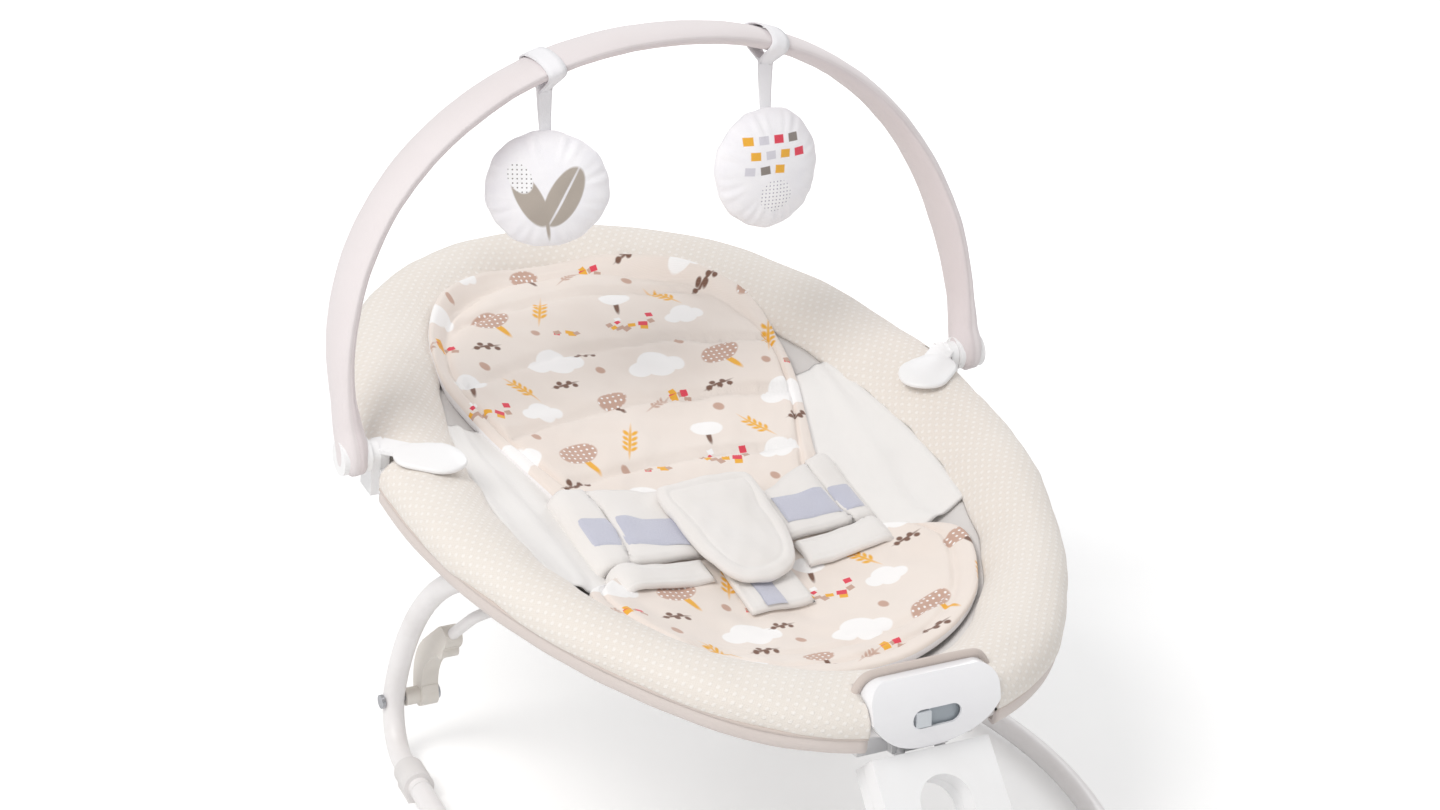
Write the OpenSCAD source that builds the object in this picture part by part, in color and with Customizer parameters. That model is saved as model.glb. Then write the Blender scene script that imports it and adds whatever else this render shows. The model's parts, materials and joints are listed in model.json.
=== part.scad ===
/* [Floor frame] */
// Outer diameter of the steel tube
tube_d = 17; // [15:0.5:18]
// Wall thickness of the steel tube
tube_wall = 1.2; // [1:0.1:1.5]
// Greatest width of the floor frame between tube centres
floor_w = 465; // [455:5:475]
// Distance from the origin forward to the front bar
front_bar_y = 375; // [370:1:380]
// Height of the tube's centre above the floor
tube_z = 12; // [12:0.5:13]
// Bend radius of each long side
side_bend_r = 540; // [520:10:560]
// Bend radius of the two front corners
corner_bend_r = 110; // [100:5:120]
// Bend radius where each side turns up at the rear
rear_bend_r = 34; // [30:1:38]
// Bend radius of the long springing part of each arm
arm_bend_r = 264; // [260:1:268]

/* [Seat ring] */
// Half of the seat's greatest width
seat_half_w = 237; // [230:1:240]
// Length of the seat from its widest place to the head end
head_l = 338; // [330:1:345]
// Length of the seat from its widest place to the foot end
foot_l = 372; // [366:1:378]
// Radius of the seat ring's long sides
seat_side_r = 540; // [520:10:560]
// Tilt of the seat ring, head end up
seat_tilt = 12.4; // [11.5:0.1:13]
// Height of the seat ring's widest place above the floor
seat_z = 264; // [260:1:268]
// Diameter of the hoop tube
hoop_d = 16; // [14:0.5:17]

/* [Soft seat] */
// Thickness of the quilted liner at its middle
liner_t = 15; // [10:1:18]
// Half width of the opening inside the padded band
open_w = 181; // [176:1:184]
// Depth of the pocket below its edge, at the widest place
pocket_depth = 34; // [28:1:38]

/* [Toy arch] */
// Half the distance between the two ends of the arch
arch_half_w = 262; // [258:1:266]
// Height of the arch above its pivots
arch_h = 280; // [270:1:290]
// Diameter of each hanging toy
toy_d = 91; // [80:1:96]

/* [Vibration unit] */
// Width of the unit
pod_w = 100; // [96:1:104]
// Travel of the switch from off to high
switch_travel = 14; // [10:1:15]

/* [Hidden] */
$fn = 64;

white_paint = [0.95, 0.95, 0.95];
white_plastic = [0.97, 0.97, 0.97];
cream = [0.93, 0.89, 0.82];
plain_beige = [0.86, 0.81, 0.79];
liner_beige = [0.91, 0.86, 0.81];
pale_grey = [0.92, 0.91, 0.9];
lilac_grey = [0.76, 0.76, 0.82];
steel = [0.75, 0.75, 0.77];
rubber_grey = [0.55, 0.55, 0.56];

mid_y = 4.36;  // how far everything is moved forward so that the whole is centred
slip = 0.05;  // radial clearance of a running fit
gap = 0.3;    // clearance between parts that don't touch

tube_r = tube_d / 2;
hoop_r = hoop_d / 2;

// ---- vectors ----
function unit(v) = v / norm(v);
function turned(deg) = [cos(deg), sin(deg), 0];

// ---- bent tube: steps of [straight length, heading after the bend, bend radius] ----
function bend_axis(a, b) = unit(cross(a, b));
function bend_end(p, a, b, r) =
    p + r * cross(bend_axis(a, b), a) - r * cross(bend_axis(a, b), b);
function run_end(p, a, steps, i = 0) =
    i == len(steps) ? p : run_end(bend_end(p + steps[i][0] * a, a, steps[i][1], steps[i][2]),
        steps[i][1], steps, i + 1);

module centred() {
    translate([0, -mid_y, 0]) children();
}

// Turns the Z axis to a direction
module along(p, dir) {
    translate(p)
        rotate([0, acos(dir[2]), atan2(dir[1], dir[0])])
            children();
}

module tube_section(r, wall) {
    difference() {
        circle(r);
        if (wall > 0) circle(r - wall);
    }
}

// Short collar over a joint between two stretches of tube
module weld(p, dir, r, wall) {
    along(p - 0.7 * dir, dir)
        linear_extrude(1.4)
            tube_section(r + 0.02, wall > 0 ? wall + 0.04 : 0);
}

module bend(p, a, b, bend_r, r, wall) {
    n = bend_axis(a, b);
    x = -cross(n, a);
    c = p - bend_r * x;
    trim = 0.2 / bend_r * 180 / PI;
    multmatrix([
        [x[0], a[0], n[0], c[0]],
        [x[1], a[1], n[1], c[1]],
        [x[2], a[2], n[2], c[2]],
        [0, 0, 0, 1]])
        rotate([0, 0, trim])
            rotate_extrude(angle = acos(a * b) - 2 * trim, $fn = 96)
                translate([bend_r, 0])
                    tube_section(r, wall);
}

module straight(p, dir, length, r, wall) {
    along(p + 0.2 * dir, dir)
        linear_extrude(length - 0.4)
            tube_section(r, wall);
}

module bent_tube(p, a, steps, r, wall, i = 0) {
    if (i < len(steps)) {
        s = steps[i];
        q = p + s[0] * a;
        e = bend_end(q, a, s[1], s[2]);
        if (s[0] > 0) {
            straight(p, a, s[0], r, wall);
            weld(q, a, r, wall);
        }
        bend(q, a, s[1], s[2], r, wall);
        if (i < len(steps) - 1) weld(e, s[1], r, wall);
        bent_tube(e, s[1], steps, r, wall, i + 1);
    }
}

module both_sides() {
    children();
    mirror([1, 0, 0]) children();
}

// ---- swept strip with an oval section; up is the section's long direction ----
function sweep_ring(path, i, oval, sides, up) =
    let (last = len(path) - 1,
        t = unit(path[min(i + 1, last)] - path[max(i - 1, 0)]),
        u = unit(up - (up * t) * t),
        v = cross(t, u))
    [for (k = [0:sides - 1])
        path[i] + oval[0] * cos(360 * k / sides) * u + oval[1] * sin(360 * k / sides) * v];

// ---- pad between two surfaces, over an outline that runs counter-clockwise ----
module pad(outline, middle, top, bottom, rings = [1, 0.85, 0.6, 0.3]) {
    n = len(outline);
    m = len(rings);
    half = m * n + 1;
    spots = concat([for (r = rings, p = outline) [each (middle + r * (p - middle)), r]], [[each middle, 0]]);
    points = concat(
        [for (q = spots) [q[0], q[1], top(q[0], q[1], q[2])]],
        [for (q = spots) [q[0], q[1], bottom(q[0], q[1], q[2])]]);
    upper = [for (i = [0:m - 2], k = [0:n - 1])
        let (a = i * n + k, b = i * n + (k + 1) % n)
        each [[a, a + n, b + n], [a, b + n, b]]];
    fan = [for (k = [0:n - 1]) [(m - 1) * n + k, half - 1, (m - 1) * n + (k + 1) % n]];
    faces = concat(upper, fan);
    polyhedron(points, concat(faces,
        [for (f = faces) [f[0] + half, f[2] + half, f[1] + half]],
        [for (k = [0:n - 1])
            let (b = (k + 1) % n)
            each [[k, b, b + half], [k, b + half, k + half]]]));
}

// ---- strip whose rows run up the seat and whose columns run to the right ----
module strip(rows, thick) {
    n = len(rows);
    m = len(rows[0]);
    half = n * m;
    top = [for (row = rows) each row];
    points = concat(top, [for (p = top) p - [0, 0, thick]]);
    skin = [for (i = [0:n - 2], k = [0:m - 2])
        let (a = i * m + k)
        each [[a, a + m, a + m + 1], [a, a + m + 1, a + 1]]];
    rim = concat(
        [for (k = [0:m - 2]) [k, k + 1]],
        [for (i = [0:n - 2]) [i * m + m - 1, i * m + 2 * m - 1]],
        [for (k = [m - 1:-1:1]) [(n - 1) * m + k, (n - 1) * m + k - 1]],
        [for (i = [n - 1:-1:1]) [i * m, (i - 1) * m]]);
    polyhedron(points, concat(skin,
        [for (f = skin) [f[0] + half, f[2] + half, f[1] + half]],
        [for (e = rim) each [[e[0], e[1], e[1] + half], [e[0], e[1] + half, e[0] + half]]]));
}

// ==== floor frame ====
arm_start_lean = 22;      // degrees forward of upright where the arm leaves the rear bend
arm_end_lean = 76;
toe_in = 8;               // degrees that the straight rear stretches point inward
rear_straight = 88.6;
spigot_l = 30;
side_mid_y = -25;         // where the floor frame is widest
side_centre_x = floor_w / 2 - side_bend_r;
corner_drop = asin((side_mid_y + front_bar_y - corner_bend_r) / (side_bend_r - corner_bend_r));
front_half = side_centre_x + (side_bend_r - corner_bend_r) * cos(corner_drop);
front_p = [0, -front_bar_y, tube_z];
forward_steps = [
    [front_half, turned(90 - corner_drop), corner_bend_r],
    [0, turned(90 + toe_in), side_bend_r]];
side_end = run_end(front_p, [1, 0, 0], forward_steps);
arm_low = [0, -sin(arm_start_lean), cos(arm_start_lean)];
arm_high = [0, -sin(arm_end_lean), cos(arm_end_lean)];
arm_steps = [
    [rear_straight, arm_low, rear_bend_r],
    [0, arm_high, arm_bend_r]];
rear_foot = side_end + rear_straight * turned(90 + toe_in);
arm_foot = run_end(rear_foot, turned(90 + toe_in), [[0, arm_low, rear_bend_r]]);
arm_tip = run_end(side_end, turned(90 + toe_in), arm_steps);
arm_x = arm_tip[0];

module floor_tube() {
    rear = turned(90 + toe_in);
    color(white_paint) centred() {
        both_sides() {
            bent_tube(front_p, [1, 0, 0], forward_steps, tube_r, tube_wall);
            weld(side_end, rear, tube_r, tube_wall);
            straight(side_end, rear, spigot_l + 2, tube_r, tube_wall);
        }
        weld(front_p, [1, 0, 0], tube_r, tube_wall);
    }
}

// The arm starts at the end of the floor tube, with a spigot that slides into it
module spring_arm() {
    rear = turned(90 + toe_in);
    first = spigot_l + 2 + gap;
    start = side_end + first * rear;
    difference() {
        union() {
            bent_tube(start, rear, [[rear_straight - first, arm_low, rear_bend_r], [0, arm_high, arm_bend_r]],
                tube_r, tube_wall);
            along(start - spigot_l * rear, rear)
                linear_extrude(spigot_l + 6)
                    tube_section(tube_r - tube_wall - slip, tube_wall);
            along(start + rear, rear)
                linear_extrude(4)
                    tube_section(tube_r - tube_wall / 2, tube_wall);
        }
        translate([arm_x - 20, stand_y, stand_z])
            rotate([0, 90, 0]) cylinder(r = rivet_r + 0.02, h = 40);
    }
}

module spring_arm_right() {
    color(white_paint) centred() spring_arm();
}

module spring_arm_left() {
    color(white_paint) centred() mirror([1, 0, 0]) spring_arm();
}

pad_r = tube_z;          // from the tube's centre to the floor
pad_turn = 9; // degrees of the bend that each front pad covers

// Section of a pad: a sleeve on the tube with a flat sole; down is the way the second number falls
module pad_section() {
    tube_section(pad_r - 0.2, pad_r - 0.2 - tube_r - 0.01);
    translate([-9, -pad_r]) square([18, pad_r - tube_r - 0.1]);
}

module floor_pads_front() {
    centre = front_p + [front_half, corner_bend_r, 0];
    color(rubber_grey) centred()
        both_sides()
            translate(centre)
                rotate([0, 0, -62])
                    rotate_extrude(angle = 2 * pad_turn, $fn = 96)
                        translate([corner_bend_r, 0])
                            pad_section();
}

module floor_pads_rear() {
    color(rubber_grey) centred()
        both_sides()
            along(side_end + 40 * turned(90 + toe_in), turned(90 + toe_in))
                linear_extrude(32)
                    rotate([0, 0, 90]) pad_section();
}

// ==== stand ====
stand_y = 171;
stand_z = 50;
stand_lean = 55;          // degrees forward of upright, past the bracket's curve
stand_curve_r = 45;
stand_straight = 116;     // from the curve to the crossbar
bracket_reach = 40;       // length of the bracket's straight part
bracket_x = arm_x - 27;   // plane of each bracket
bracket_t = 14;
bracket_half = 8.5;
rivet_r = 3;
wire_r = 4.5;
wire_bend_r = 25;
wire_hold = 24;
stand_fwd = [0, -sin(stand_lean), cos(stand_lean)];
stand_curve_end = [0, stand_y - stand_curve_r * (1 - cos(stand_lean)),
    stand_z + 8 + stand_curve_r * sin(stand_lean)];
crossbar = stand_curve_end + stand_straight * stand_fwd;

module stand_rivets() {
    inner = bracket_x - bracket_t / 2;
    color(steel) centred()
        both_sides()
            translate([0, stand_y, stand_z])
                rotate([0, 90, 0]) {
                    translate([0, 0, inner - 3]) cylinder(r = rivet_r + 3, h = 2.7);
                    translate([0, 0, inner - 2]) cylinder(r = rivet_r, h = arm_x + tube_r + 3 - inner);
                    translate([0, 0, arm_x + tube_r + 0.3]) cylinder(r = rivet_r + 2.5, h = 2.6);
                }
}

// Outline of a bracket, seen from the right: X is towards the rear and Y is up
module bracket_outline() {
    wide = bracket_half + 0.4;
    translate([stand_y, stand_z]) circle(bracket_half + 1);
    translate([stand_y - wide, stand_z]) square([2 * wide, 10]);
    translate([stand_y - stand_curve_r, stand_z + 8])
        intersection() {
            difference() {
                circle(stand_curve_r + bracket_half);
                circle(stand_curve_r - bracket_half);
            }
            polygon([[0, 0], [200, 0], [200, 200], [200 * cos(stand_lean), 200 * sin(stand_lean)]]);
        }
    translate([stand_curve_end[1], stand_curve_end[2]])
        rotate([0, 0, 90 + stand_lean]) {
            translate([-2, -wide]) square([bracket_reach + 2, 2 * wide]);
            translate([bracket_reach, 0]) circle(bracket_half);
            translate([bracket_reach - 12, bracket_half - 2]) circle(7);
        }
}

module stand_bracket() {
    inner = bracket_x - bracket_t / 2;
    difference() {
        union() {
            translate([inner, 0, 0])
                rotate([90, 0, 90])
                    linear_extrude(bracket_t) bracket_outline();
            translate([inner + 1, stand_y, stand_z])
                rotate([0, 90, 0]) cylinder(r = 7, h = arm_x - tube_r - gap - inner - 1);
        }
        translate([inner - 5, stand_y, stand_z])
            rotate([0, 90, 0]) cylinder(r = rivet_r + slip, h = 60);
        along(stand_curve_end + [bracket_x, 0, 0] + (bracket_reach - wire_hold) * stand_fwd, stand_fwd)
            cylinder(r = wire_r + slip, h = 60);
    }
}

module stand_bracket_right() {
    color(white_plastic) centred() stand_bracket();
}

module stand_bracket_left() {
    color(white_plastic) centred() mirror([1, 0, 0]) stand_bracket();
}

module stand_wire() {
    start = stand_curve_end + [bracket_x, 0, 0] + (bracket_reach - wire_hold + gap) * stand_fwd;
    run = stand_straight - wire_bend_r - (bracket_reach - wire_hold + gap);
    color(white_paint) centred() {
        both_sides() {
            bent_tube(start, stand_fwd, [[run, [-1, 0, 0], wire_bend_r]], wire_r, 0);
            weld(crossbar + [bracket_x - wire_bend_r, 0, 0], [-1, 0, 0], wire_r, 0);
        }
        straight(crossbar - [bracket_x - wire_bend_r, 0, 0], [1, 0, 0],
            2 * (bracket_x - wire_bend_r), wire_r, 0);
    }
}

// ==== seat ring ====
seat_y = 62;
side_offset = seat_side_r - seat_half_w;
function end_radius(l) =
    (seat_side_r * seat_side_r - side_offset * side_offset - l * l) / (2 * (seat_side_r - l));
head_r = end_radius(head_l);
foot_r = end_radius(foot_l);
head_turn = atan2(head_l - head_r, side_offset);
foot_turn = atan2(foot_l - foot_r, side_offset);
hoop_in = 12;             // the hoop's centre inside the cover's edge
hoop_w = -9;              // the hoop's centre below the ring's plane
hoop_end_x = 54;
hoop_end_turn = asin(hoop_end_x / (foot_r - hoop_in));

// Centre and radius of the edge's arc that faces a direction
function edge_centre(a) =
    sin(a) > sin(head_turn) ? [0, head_l - head_r] :
    sin(a) < -sin(foot_turn) ? [0, foot_r - foot_l] :
    [cos(a) > 0 ? -side_offset : side_offset, 0];
function edge_radius(a) =
    sin(a) > sin(head_turn) ? head_r : sin(a) < -sin(foot_turn) ? foot_r : seat_side_r;
function edge_point(a, inset) = edge_centre(a) + (edge_radius(a) - inset) * [cos(a), sin(a)];

module in_seat() {
    translate([0, seat_y, seat_z])
        rotate([seat_tilt, 0, 0])
            children();
}

hoop_start = [0, head_l - hoop_in, hoop_w];
hoop_steps = [
    [0, [sin(head_turn), -cos(head_turn), 0], head_r - hoop_in],
    [0, [-sin(foot_turn), -cos(foot_turn), 0], seat_side_r - hoop_in],
    [0, [-cos(hoop_end_turn), -sin(hoop_end_turn), 0], foot_r - hoop_in]];
hoop_end = run_end(hoop_start, [1, 0, 0], hoop_steps);
hoop_plug_l = 24;

module seat_hoop() {
    color(white_paint) centred()
        in_seat() {
            both_sides() {
                bent_tube(hoop_start, [1, 0, 0], hoop_steps, hoop_r, tube_wall);
                weld(hoop_end, hoop_steps[2][1], hoop_r, tube_wall);
                straight(hoop_end, hoop_steps[2][1], hoop_plug_l, hoop_r, tube_wall);
            }
            weld(hoop_start, [1, 0, 0], hoop_r, tube_wall);
        }
}

// ==== arm hubs: a socket on each spring arm, under a saddle on the hoop ====
hub_socket_l = 30;
hub_r = 12.5;
hub_mid = arm_tip - 14 * arm_high;
hub_block = [30, 26];     // length along the seat and height of the block under the hoop
hub_in = 11;              // how far the block starts inside the socket's axis
hub_out_x = 226;          // outer face of the block

module arm_hub() {
    difference() {
        union() {
            along(arm_tip - hub_socket_l * arm_high, arm_high) cylinder(r = hub_r, h = hub_socket_l + 3);
            translate(hub_mid - [hub_in, hub_block[0] / 2, 0])
                cube([hub_out_x - hub_mid[0] + hub_in, hub_block[0], hub_block[1]]);
        }
        bend(arm_foot, arm_low, arm_high, arm_bend_r, tube_r + slip, 0);
        along(arm_tip - arm_high, arm_high) cylinder(r = tube_r + slip, h = 1.05);
        in_seat()
            translate([-side_offset, 0, hoop_w])
                rotate([0, 0, -20])
                    rotate_extrude(angle = 40, $fn = 96)
                        translate([seat_side_r - hoop_in, 0]) circle(hoop_r + slip);
    }
}

module arm_hub_right() {
    color(white_plastic) centred() arm_hub();
}

module arm_hub_left() {
    color(white_plastic) centred() mirror([1, 0, 0]) arm_hub();
}

// ==== front leg: two shells clamped round the front bar ====
leg_lean = 36;
leg_top = 167;
leg_foot_w = 98;
leg_head_w = 92;
leg_front_d = 16;         // from the bar's centre to the front face
leg_back_d = 12;
leg_wall = 3;
slot_w = 40;
slot_low = 42;
slot_high = 148;
clamp_r = 11;
peg_x = 16;               // pegs of the vibration unit in the leg's top edge
peg_r = 4;

module in_leg() {
    translate([0, -front_bar_y, tube_z])
        rotate([-leg_lean, 0, 0])
            children();
}

function leg_half(z, inset) = (leg_foot_w + (leg_head_w - leg_foot_w) * z / leg_top) / 2 - inset;

module leg_outline(inset, low, high) {
    polygon([[-leg_half(low, inset), low], [leg_half(low, inset), low],
        [leg_half(high, inset), high], [-leg_half(high, inset), high]]);
}

module slot_outline(grow) {
    r = slot_w / 2 + grow;
    translate([0, slot_low + slot_w / 2]) circle(r);
    translate([0, slot_high - slot_w / 2]) circle(r);
    translate([-r, slot_low + slot_w / 2]) square([2 * r, slot_high - slot_low - slot_w]);
}

// Half of the leg between two depths: a plate with rims, and a block round the bar
module leg_shell(face, inner) {
    plate = face < 0 ? [face, face + leg_wall] : [face - leg_wall, face];
    difference() {
        union() {
            difference() {
                rotate([90, 0, 0])
                    translate([0, 0, -max(face, inner)])
                        linear_extrude(abs(face - inner))
                            leg_outline(0, 0, leg_top);
                rotate([90, 0, 0])
                    translate([0, 0, face < 0 ? -inner - 1 : -plate[0]])
                        linear_extrude(abs(face - inner) - leg_wall + 1)
                            difference() {
                                leg_outline(leg_wall, 16, leg_top - leg_wall);
                                slot_outline(leg_wall);
                            }
            }
            translate([-leg_foot_w / 2, 0, 0])
                rotate([0, 90, 0]) cylinder(r = clamp_r, h = leg_foot_w);
        }
        rotate([90, 0, 0])
            translate([0, 0, -50])
                linear_extrude(100) slot_outline(0);
        translate([-80, 0, 0])
            rotate([0, 90, 0]) cylinder(r = tube_r + slip, h = 160);
        translate([-80, face < 0 ? inner : inner - 60, -60]) cube([160, 60, 300]);
        for (x = [-peg_x, peg_x])
            translate([x, 0, leg_top - 13]) cylinder(r = peg_r + slip, h = 20);
    }
}

module leg_front() {
    color(white_plastic) centred()
        in_leg()
            difference() {
                leg_shell(-leg_front_d, -gap / 2);
                leg_screw_places() cylinder(r = 1.5, h = 20, center = true);
            }
}

module leg_back() {
    color(white_plastic) centred()
        in_leg()
            difference() {
                leg_shell(leg_back_d, gap / 2);
                leg_screw_places() cylinder(r = 2.1, h = 40, center = true);
            }
}

module leg_screw_places() {
    for (x = [-34, 34], z = [24, 156])
        translate([x, 0, z]) rotate([90, 0, 0]) children();
}

module leg_screws() {
    color(steel) centred()
        in_leg()
            leg_screw_places() {
                translate([0, 0, -leg_back_d - 2]) cylinder(r = 3.6, h = 2);
                translate([0, 0, -leg_back_d - 0.1]) cylinder(r = 1.5, h = leg_back_d + 8);
            }
}

// ==== cover: a padded ring of fabric over the hoop ====
opening_power = 2.3;      // how square the opening's outline is
opening_head = 292;
opening_foot = 285;
edge_w = -12;
edge_drop = 12;
pod_notch_w = 53;
pod_notch_s = -328;
clip_notch_x = 211;
clip_notch_low = 24;
clip_notch_high = 61;

function opening_rho(x, s) =
    pow(pow(abs(x) / open_w, opening_power)
        + pow(abs(s) / (s > 0 ? opening_head : opening_foot), opening_power), 1 / opening_power);
function edge_level(s) = edge_w - (s < 0 ? edge_drop * pow(s / 272, 2) : 0);

// Where the opening's edge is met on the line inward from the outer edge towards the middle
function opening_on(p) = p / opening_rho(p[0], p[1]);

// Depth in from the edge, or the fraction of the way across, with the height at each corner of the section
cover_section = [
    [0, 0, -12], [-2, 0, -8], [-1.2, 0, 0], [1.5, 0, 5], [8, 0, 11], [0, 0.3, 14], [0, 0.45, 13.5],
    [0, 0.65, 9.5], [0, 0.85, 1.5], [0, 0.96, -6], [0, 1, -9],
    [0, 1, -13.6], [0, 0.85, -5.5], [0, 0.62, 1.5], [21, 0, 1.5], [17, 0, 0.5], [5, 0, 0],
    [3.4, 0, -7], [3, 0, -12]];
function cover_corner(a, c) =
    let (outer = edge_point(a, 0), inner = opening_on(outer), run = inner - outer,
        q = outer + (c[0] + c[1] * norm(run)) * unit(run),
        sink = edge_level(inner[1]) - edge_w)
    [q[0], q[1], c[2] + sink * (c[1] > 0.6 ? (c[1] - 0.6) / 0.4 : 0)];

// Directions of the stations: each arc of the edge is cut into equal steps
function steps_between(a, b, n) = [for (i = [0:n - 1]) a + (b - a) * i / n];
edge_turns = concat(
    steps_between(-foot_turn, head_turn, 14),
    steps_between(head_turn, 180 - head_turn, 18),
    steps_between(180 - head_turn, 180 + foot_turn, 14),
    steps_between(180 + foot_turn, 360 - foot_turn, 16));

module ring_of(section_at, corners) {
    n = len(edge_turns);
    points = [for (a = edge_turns, k = [0:corners - 1]) section_at(a, k)];
    faces = [for (i = [0:n - 1], k = [0:corners - 1])
        let (j = (i + 1) % n, m = (k + 1) % corners)
        each [[i * corners + k, j * corners + k, j * corners + m],
            [i * corners + k, j * corners + m, i * corners + m]]];
    polyhedron(points, faces);
}

module seat_cover() {
    corner = function(a, k) cover_corner(a, cover_section[k]);
    color(cream) centred()
        in_seat()
            difference() {
                ring_of(corner, len(cover_section));
                translate([-pod_notch_w, -400, -40]) cube([2 * pod_notch_w, 400 + pod_notch_s, 80]);
                both_sides()
                    translate([clip_notch_x, clip_notch_low, -40])
                        cube([40, clip_notch_high - clip_notch_low, 80]);
            }
}

hem_t = 2.6;
hem_low = -23;
hem_high = -12.3;
hem_section = [[0.4, hem_low], [0.4, hem_high], [0.4 + hem_t, hem_high], [0.4 + hem_t, hem_low]];

module cover_hem() {
    corner = function(a, k) [each edge_point(a, hem_section[k][0]), hem_section[k][1]];
    color(plain_beige) centred()
        in_seat()
            difference() {
                ring_of(corner, len(hem_section));
                translate([-pod_notch_w - 1, -400, -40]) cube([2 * pod_notch_w + 2, 400 + pod_notch_s, 80]);
                both_sides()
                    translate([clip_notch_x, clip_notch_low, -40])
                        cube([40, clip_notch_high - clip_notch_low, 80]);
            }
}

// ==== pocket, panels and liner ====
pocket_gap = 4.5;
pocket_t = 4;
function pocket_level(x, s) =
    edge_level(s) - pocket_gap - max(8, pocket_depth - 0.11 * s) * (1 - pow(min(1, opening_rho(x, s)), 3));

module seat_pocket() {
    outline = [for (a = edge_turns) 0.999 * opening_on(edge_point(a, 0))];
    color(pale_grey) centred()
        in_seat()
            pad(outline, [0, 0],
                function(x, s, r) pocket_level(x, s),
                function(x, s, r) pocket_level(x, s) - pocket_t,
                [1, 0.94, 0.86, 0.74, 0.6, 0.42, 0.2]);
}

liner_middle = [0, -60];
liner_half = [
    [0, -268], [28, -267], [55, -262], [82, -252], [105, -238], [124, -221], [138, -200],
    [147, -180], [150, -160], [148, -142], [140, -124], [124, -112], [112, -98], [106, -80],
    [106, -40], [109, -20], [113, 0], [121, 60], [127, 120], [126, 170], [121, 197], [112, 220],
    [100, 238], [85, 252], [67, 265], [45, 276], [22, 283.5], [0, 286]];
liner_outline = concat(liner_half,
    [for (i = [len(liner_half) - 2:-1:1]) [-liner_half[i][0], liner_half[i][1]]]);
liner_rim_t = 6;
function cross2(a, b) = a[0] * b[1] - a[1] * b[0];

// How far out a spot is on the liner: 0 at the middle and 1 at the outline
function liner_out(p) =
    let (q = p - liner_middle, n = len(liner_outline))
    max([for (k = [0:n - 1])
        let (a = liner_outline[k] - liner_middle, b = liner_outline[(k + 1) % n] - liner_middle)
        cross2(a, q) >= -1e-9 && cross2(q, b) >= -1e-9 ? cross2(q, b - a) / cross2(a, b - a) : 0]);
function liner_thick(r) = liner_rim_t + (liner_t - liner_rim_t) * (1 - pow(min(1, r), 4));
function liner_top(x, s) = pocket_level(x, s) + 1.2 + liner_thick(liner_out([x, s]));

module liner_pad() {
    color(liner_beige) centred()
        in_seat()
            pad(liner_outline, liner_middle,
                function(x, s, r) pocket_level(x, s) + 1.2 + liner_thick(r),
                function(x, s, r) pocket_level(x, s) + 1.2,
                [1, 0.93, 0.84, 0.72, 0.55, 0.35, 0.15]);
}

// Half width of the liner at a station up the seat
function liner_half_at(s, i = 0) =
    liner_half[i + 1][1] >= s
        ? liner_half[i][0] + (liner_half[i + 1][0] - liner_half[i][0])
            * (s - liner_half[i][1]) / (liner_half[i + 1][1] - liner_half[i][1])
        : liner_half_at(s, i + 1);
function opening_half_at(s, rho) =
    open_w * pow(max(0.001, pow(rho, opening_power)
        - pow(abs(s) / (s > 0 ? opening_head : opening_foot), opening_power)), 1 / opening_power);

module side_panel() {
    rows = [for (s = [-110:14:186])
        let (from = liner_half_at(s) + 4, to = opening_half_at(s, 0.97))
        [for (f = [0:0.125:1])
            let (x = from + (to - from) * f)
            [x, s, pocket_level(x, s) + 3.6]]];
    in_seat() strip(rows, 3);
}

module side_panel_right() {
    color(pale_grey) centred() side_panel();
}

module side_panel_left() {
    color(pale_grey) centred() mirror([1, 0, 0]) side_panel();
}

// ==== harness ====
belt_t = 7;
belt_in = 34;             // inner end of each waist pad
belt_out = 104;           // outer end, where the belt turns down over the liner's edge
belt_low = -92;
belt_high = -10;
stripe_t = 1.6;
stripe_low = -76;
stripe_high = -44;
tail_low = -126;
belt_lift = 1;            // from the liner to whatever lies on it

// Soft strip that follows the liner's top between two widths and two stations
module on_liner(x_from, x_to, s_from, s_to, lift, thick) {
    nx = max(2, ceil((x_to - x_from) / 12));
    ns = max(2, ceil((s_to - s_from) / 12));
    rows = [for (i = [0:ns])
        let (s = s_from + (s_to - s_from) * i / ns)
        [for (k = [0:nx])
            let (x = x_from + (x_to - x_from) * k / nx)
            [x, s, liner_top(x, s) + lift + thick]]];
    in_seat() strip(rows, thick);
}

module waist_belt() {
    on_liner(belt_in, belt_out, belt_low, belt_high, belt_lift, belt_t);
}

module belt_fastener() {
    on_liner(belt_in + 8, belt_out - 4, stripe_low, stripe_high, belt_lift + belt_t + 0.6, stripe_t);
}

// The belt's end tucked under the pad and round the liner's waist
module belt_tail() {
    on_liner(belt_in + 4, belt_out - 4, tail_low, belt_low - 2, belt_lift, belt_t - 1);
}

module waist_belt_right() {
    color(cream) centred() waist_belt();
}

module waist_belt_left() {
    color(cream) centred() mirror([1, 0, 0]) waist_belt();
}

module belt_fastener_right() {
    color(lilac_grey) centred() belt_fastener();
}

module belt_fastener_left() {
    color(lilac_grey) centred() mirror([1, 0, 0]) belt_fastener();
}

module belt_tail_right() {
    color(cream) centred() belt_tail();
}

module belt_tail_left() {
    color(cream) centred() mirror([1, 0, 0]) belt_tail();
}

strap_half = 25;
strap_low = -172;
strap_high = -100;

module crotch_strap() {
    color(cream) centred() on_liner(-strap_half, strap_half, strap_low, strap_high, belt_lift, belt_t);
}

crotch_pad_half = [
    [-5, -156], [10, -153], [24, -141], [33, -120], [37, -95], [38, -70], [38, -48], [35, -36], [-5, -33]];
crotch_middle = [-5, -90];
crotch_pad_t = 11;
function crotch_base(x, s) = liner_top(x, s) + belt_lift + belt_t + stripe_t + 2.2;

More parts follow.
